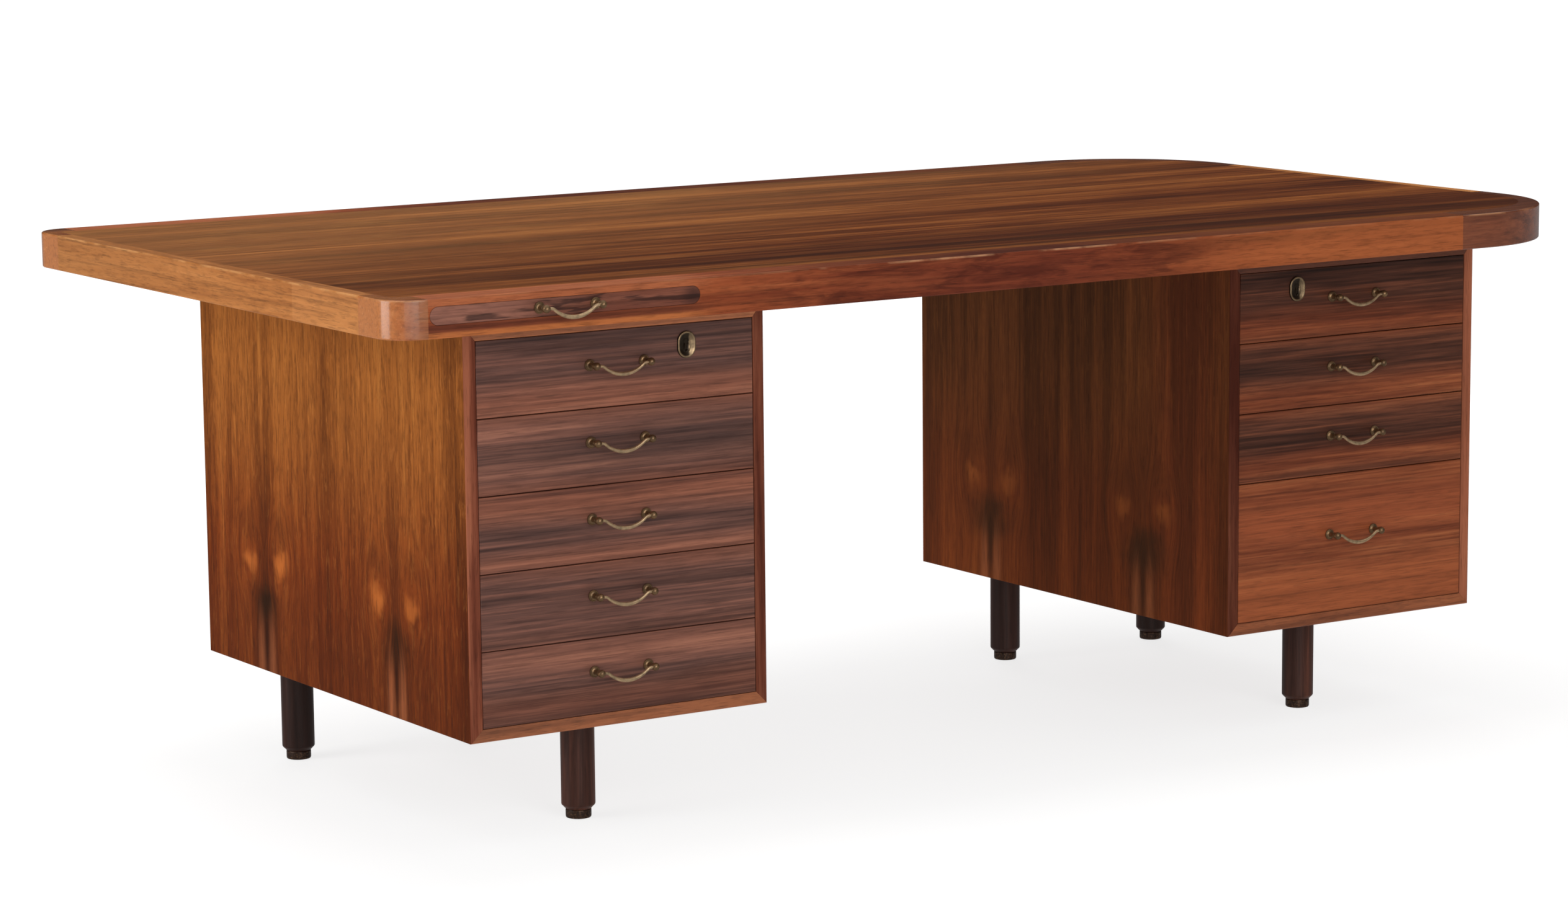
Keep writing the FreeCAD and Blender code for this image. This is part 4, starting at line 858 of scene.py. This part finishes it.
world = bpy.data.worlds.new("soft_room")
bpy.context.scene.world = world
world.use_nodes = True
room = world.node_tree
room.nodes.clear()
seen = room.nodes.new("ShaderNodeLightPath").outputs["Is Camera Ray"]
direction = room.nodes.new("ShaderNodeTexCoord").outputs["Generated"]
split = room.nodes.new("ShaderNodeSeparateXYZ")
room.links.new(direction, split.inputs[0])
lift = room.nodes.new("ShaderNodeMath")
lift.operation = "MULTIPLY_ADD"
room.links.new(split.outputs[2], lift.inputs[0])
lift.inputs[1].default_value = lift.inputs[2].default_value = 0.5
heights = room.nodes.new("ShaderNodeValToRGB")
room.links.new(lift.outputs[0], heights.inputs[0])
glows = ((0.0, 0.35), (0.44, 0.3), (0.5, 0.03), (0.66, 0.03), (0.97, 0.8))
while len(heights.color_ramp.elements) < len(glows):
    heights.color_ramp.elements.new(0.5)
for element, (position, level) in zip(heights.color_ramp.elements, glows):
    element.position = position
    element.color = (level, level, level, 1.0)
lit = room.nodes.new("ShaderNodeBackground")
room.links.new(heights.outputs[0], lit.inputs["Color"])
backdrop = room.nodes.new("ShaderNodeBackground")
backdrop.inputs["Color"].default_value = (1.0, 1.0, 1.0, 1.0)
either = room.nodes.new("ShaderNodeMixShader")
room.links.new(seen, either.inputs[0])
room.links.new(lit.outputs[0], either.inputs[1])
room.links.new(backdrop.outputs[0], either.inputs[2])
room.links.new(either.outputs[0], room.nodes.new("ShaderNodeOutputWorld").inputs[0])


def soft_light(name, place, aim, width, height, power, mirrored=True, lights=True):
    """A window of light. It may light the desk with no reflection in its polish, or only be reflected."""
    data = bpy.data.lights.new(name, "AREA")
    data.shape = "RECTANGLE"
    data.size = width
    data.size_y = height
    data.energy = power
    lamp = bpy.data.objects.new(name, data)
    lamp.location = place
    lamp.rotation_mode = "QUATERNION"
    lamp.rotation_quaternion = (Vector(aim) - Vector(place)).to_track_quat("-Z", "Y")
    lamp.visible_glossy = mirrored
    lamp.visible_diffuse = lights
    lamp.visible_camera = False
    bpy.context.scene.collection.objects.link(lamp)


soft_light("left_window", (-4.6, 0.6, 1.4), (-0.9, 0.0, 0.5), 2.4, 2.7, 95.0)
soft_light("front_window", (-0.6, -5.0, 1.9), (0.0, 0.0, 0.4), 3.2, 2.8, 85.0)
soft_light("front_card", (-2.6, -5.6, 0.9), (-0.9, -0.4, 0.7), 4.4, 1.8, 50.0, lights=False)
soft_light("ceiling", (0.0, 0.6, 4.2), (0.0, 0.0, 0.7), 3.0, 2.4, 75.0, mirrored=False)
soft_light("back_window", (2.5, 5.0, 2.6), (0.0, 0.0, 0.4), 3.0, 2.0, 60.0, mirrored=False)

forward = Vector((math.sin(YAW) * math.cos(PITCH), math.cos(YAW) * math.cos(PITCH), math.sin(PITCH)))
level_right = Vector((math.cos(YAW), -math.sin(YAW), 0.0))
level_up = level_right.cross(forward)
right = level_right * math.cos(ROLL) + level_up * math.sin(ROLL)
up = level_up * math.cos(ROLL) - level_right * math.sin(ROLL)
camera_data = bpy.data.cameras.new("camera")
camera_data.sensor_fit = "HORIZONTAL"
camera_data.sensor_width = 36.0
camera_data.lens = 36.0 * FOCAL_PIXELS / FRAME_WIDTH
camera_data.clip_end = 200.0
camera_data.shift_x = CENTRE_RIGHT / FRAME_WIDTH
camera_data.shift_y = CENTRE_UP / FRAME_WIDTH
camera = bpy.data.objects.new("camera", camera_data)
camera.matrix_world = Matrix((right, up, -forward)).transposed().to_4x4()
camera.location = CAMERA_PLACE
bpy.context.scene.collection.objects.link(camera)
bpy.context.scene.camera = camera
bpy.context.scene.view_settings.view_transform = "Standard"
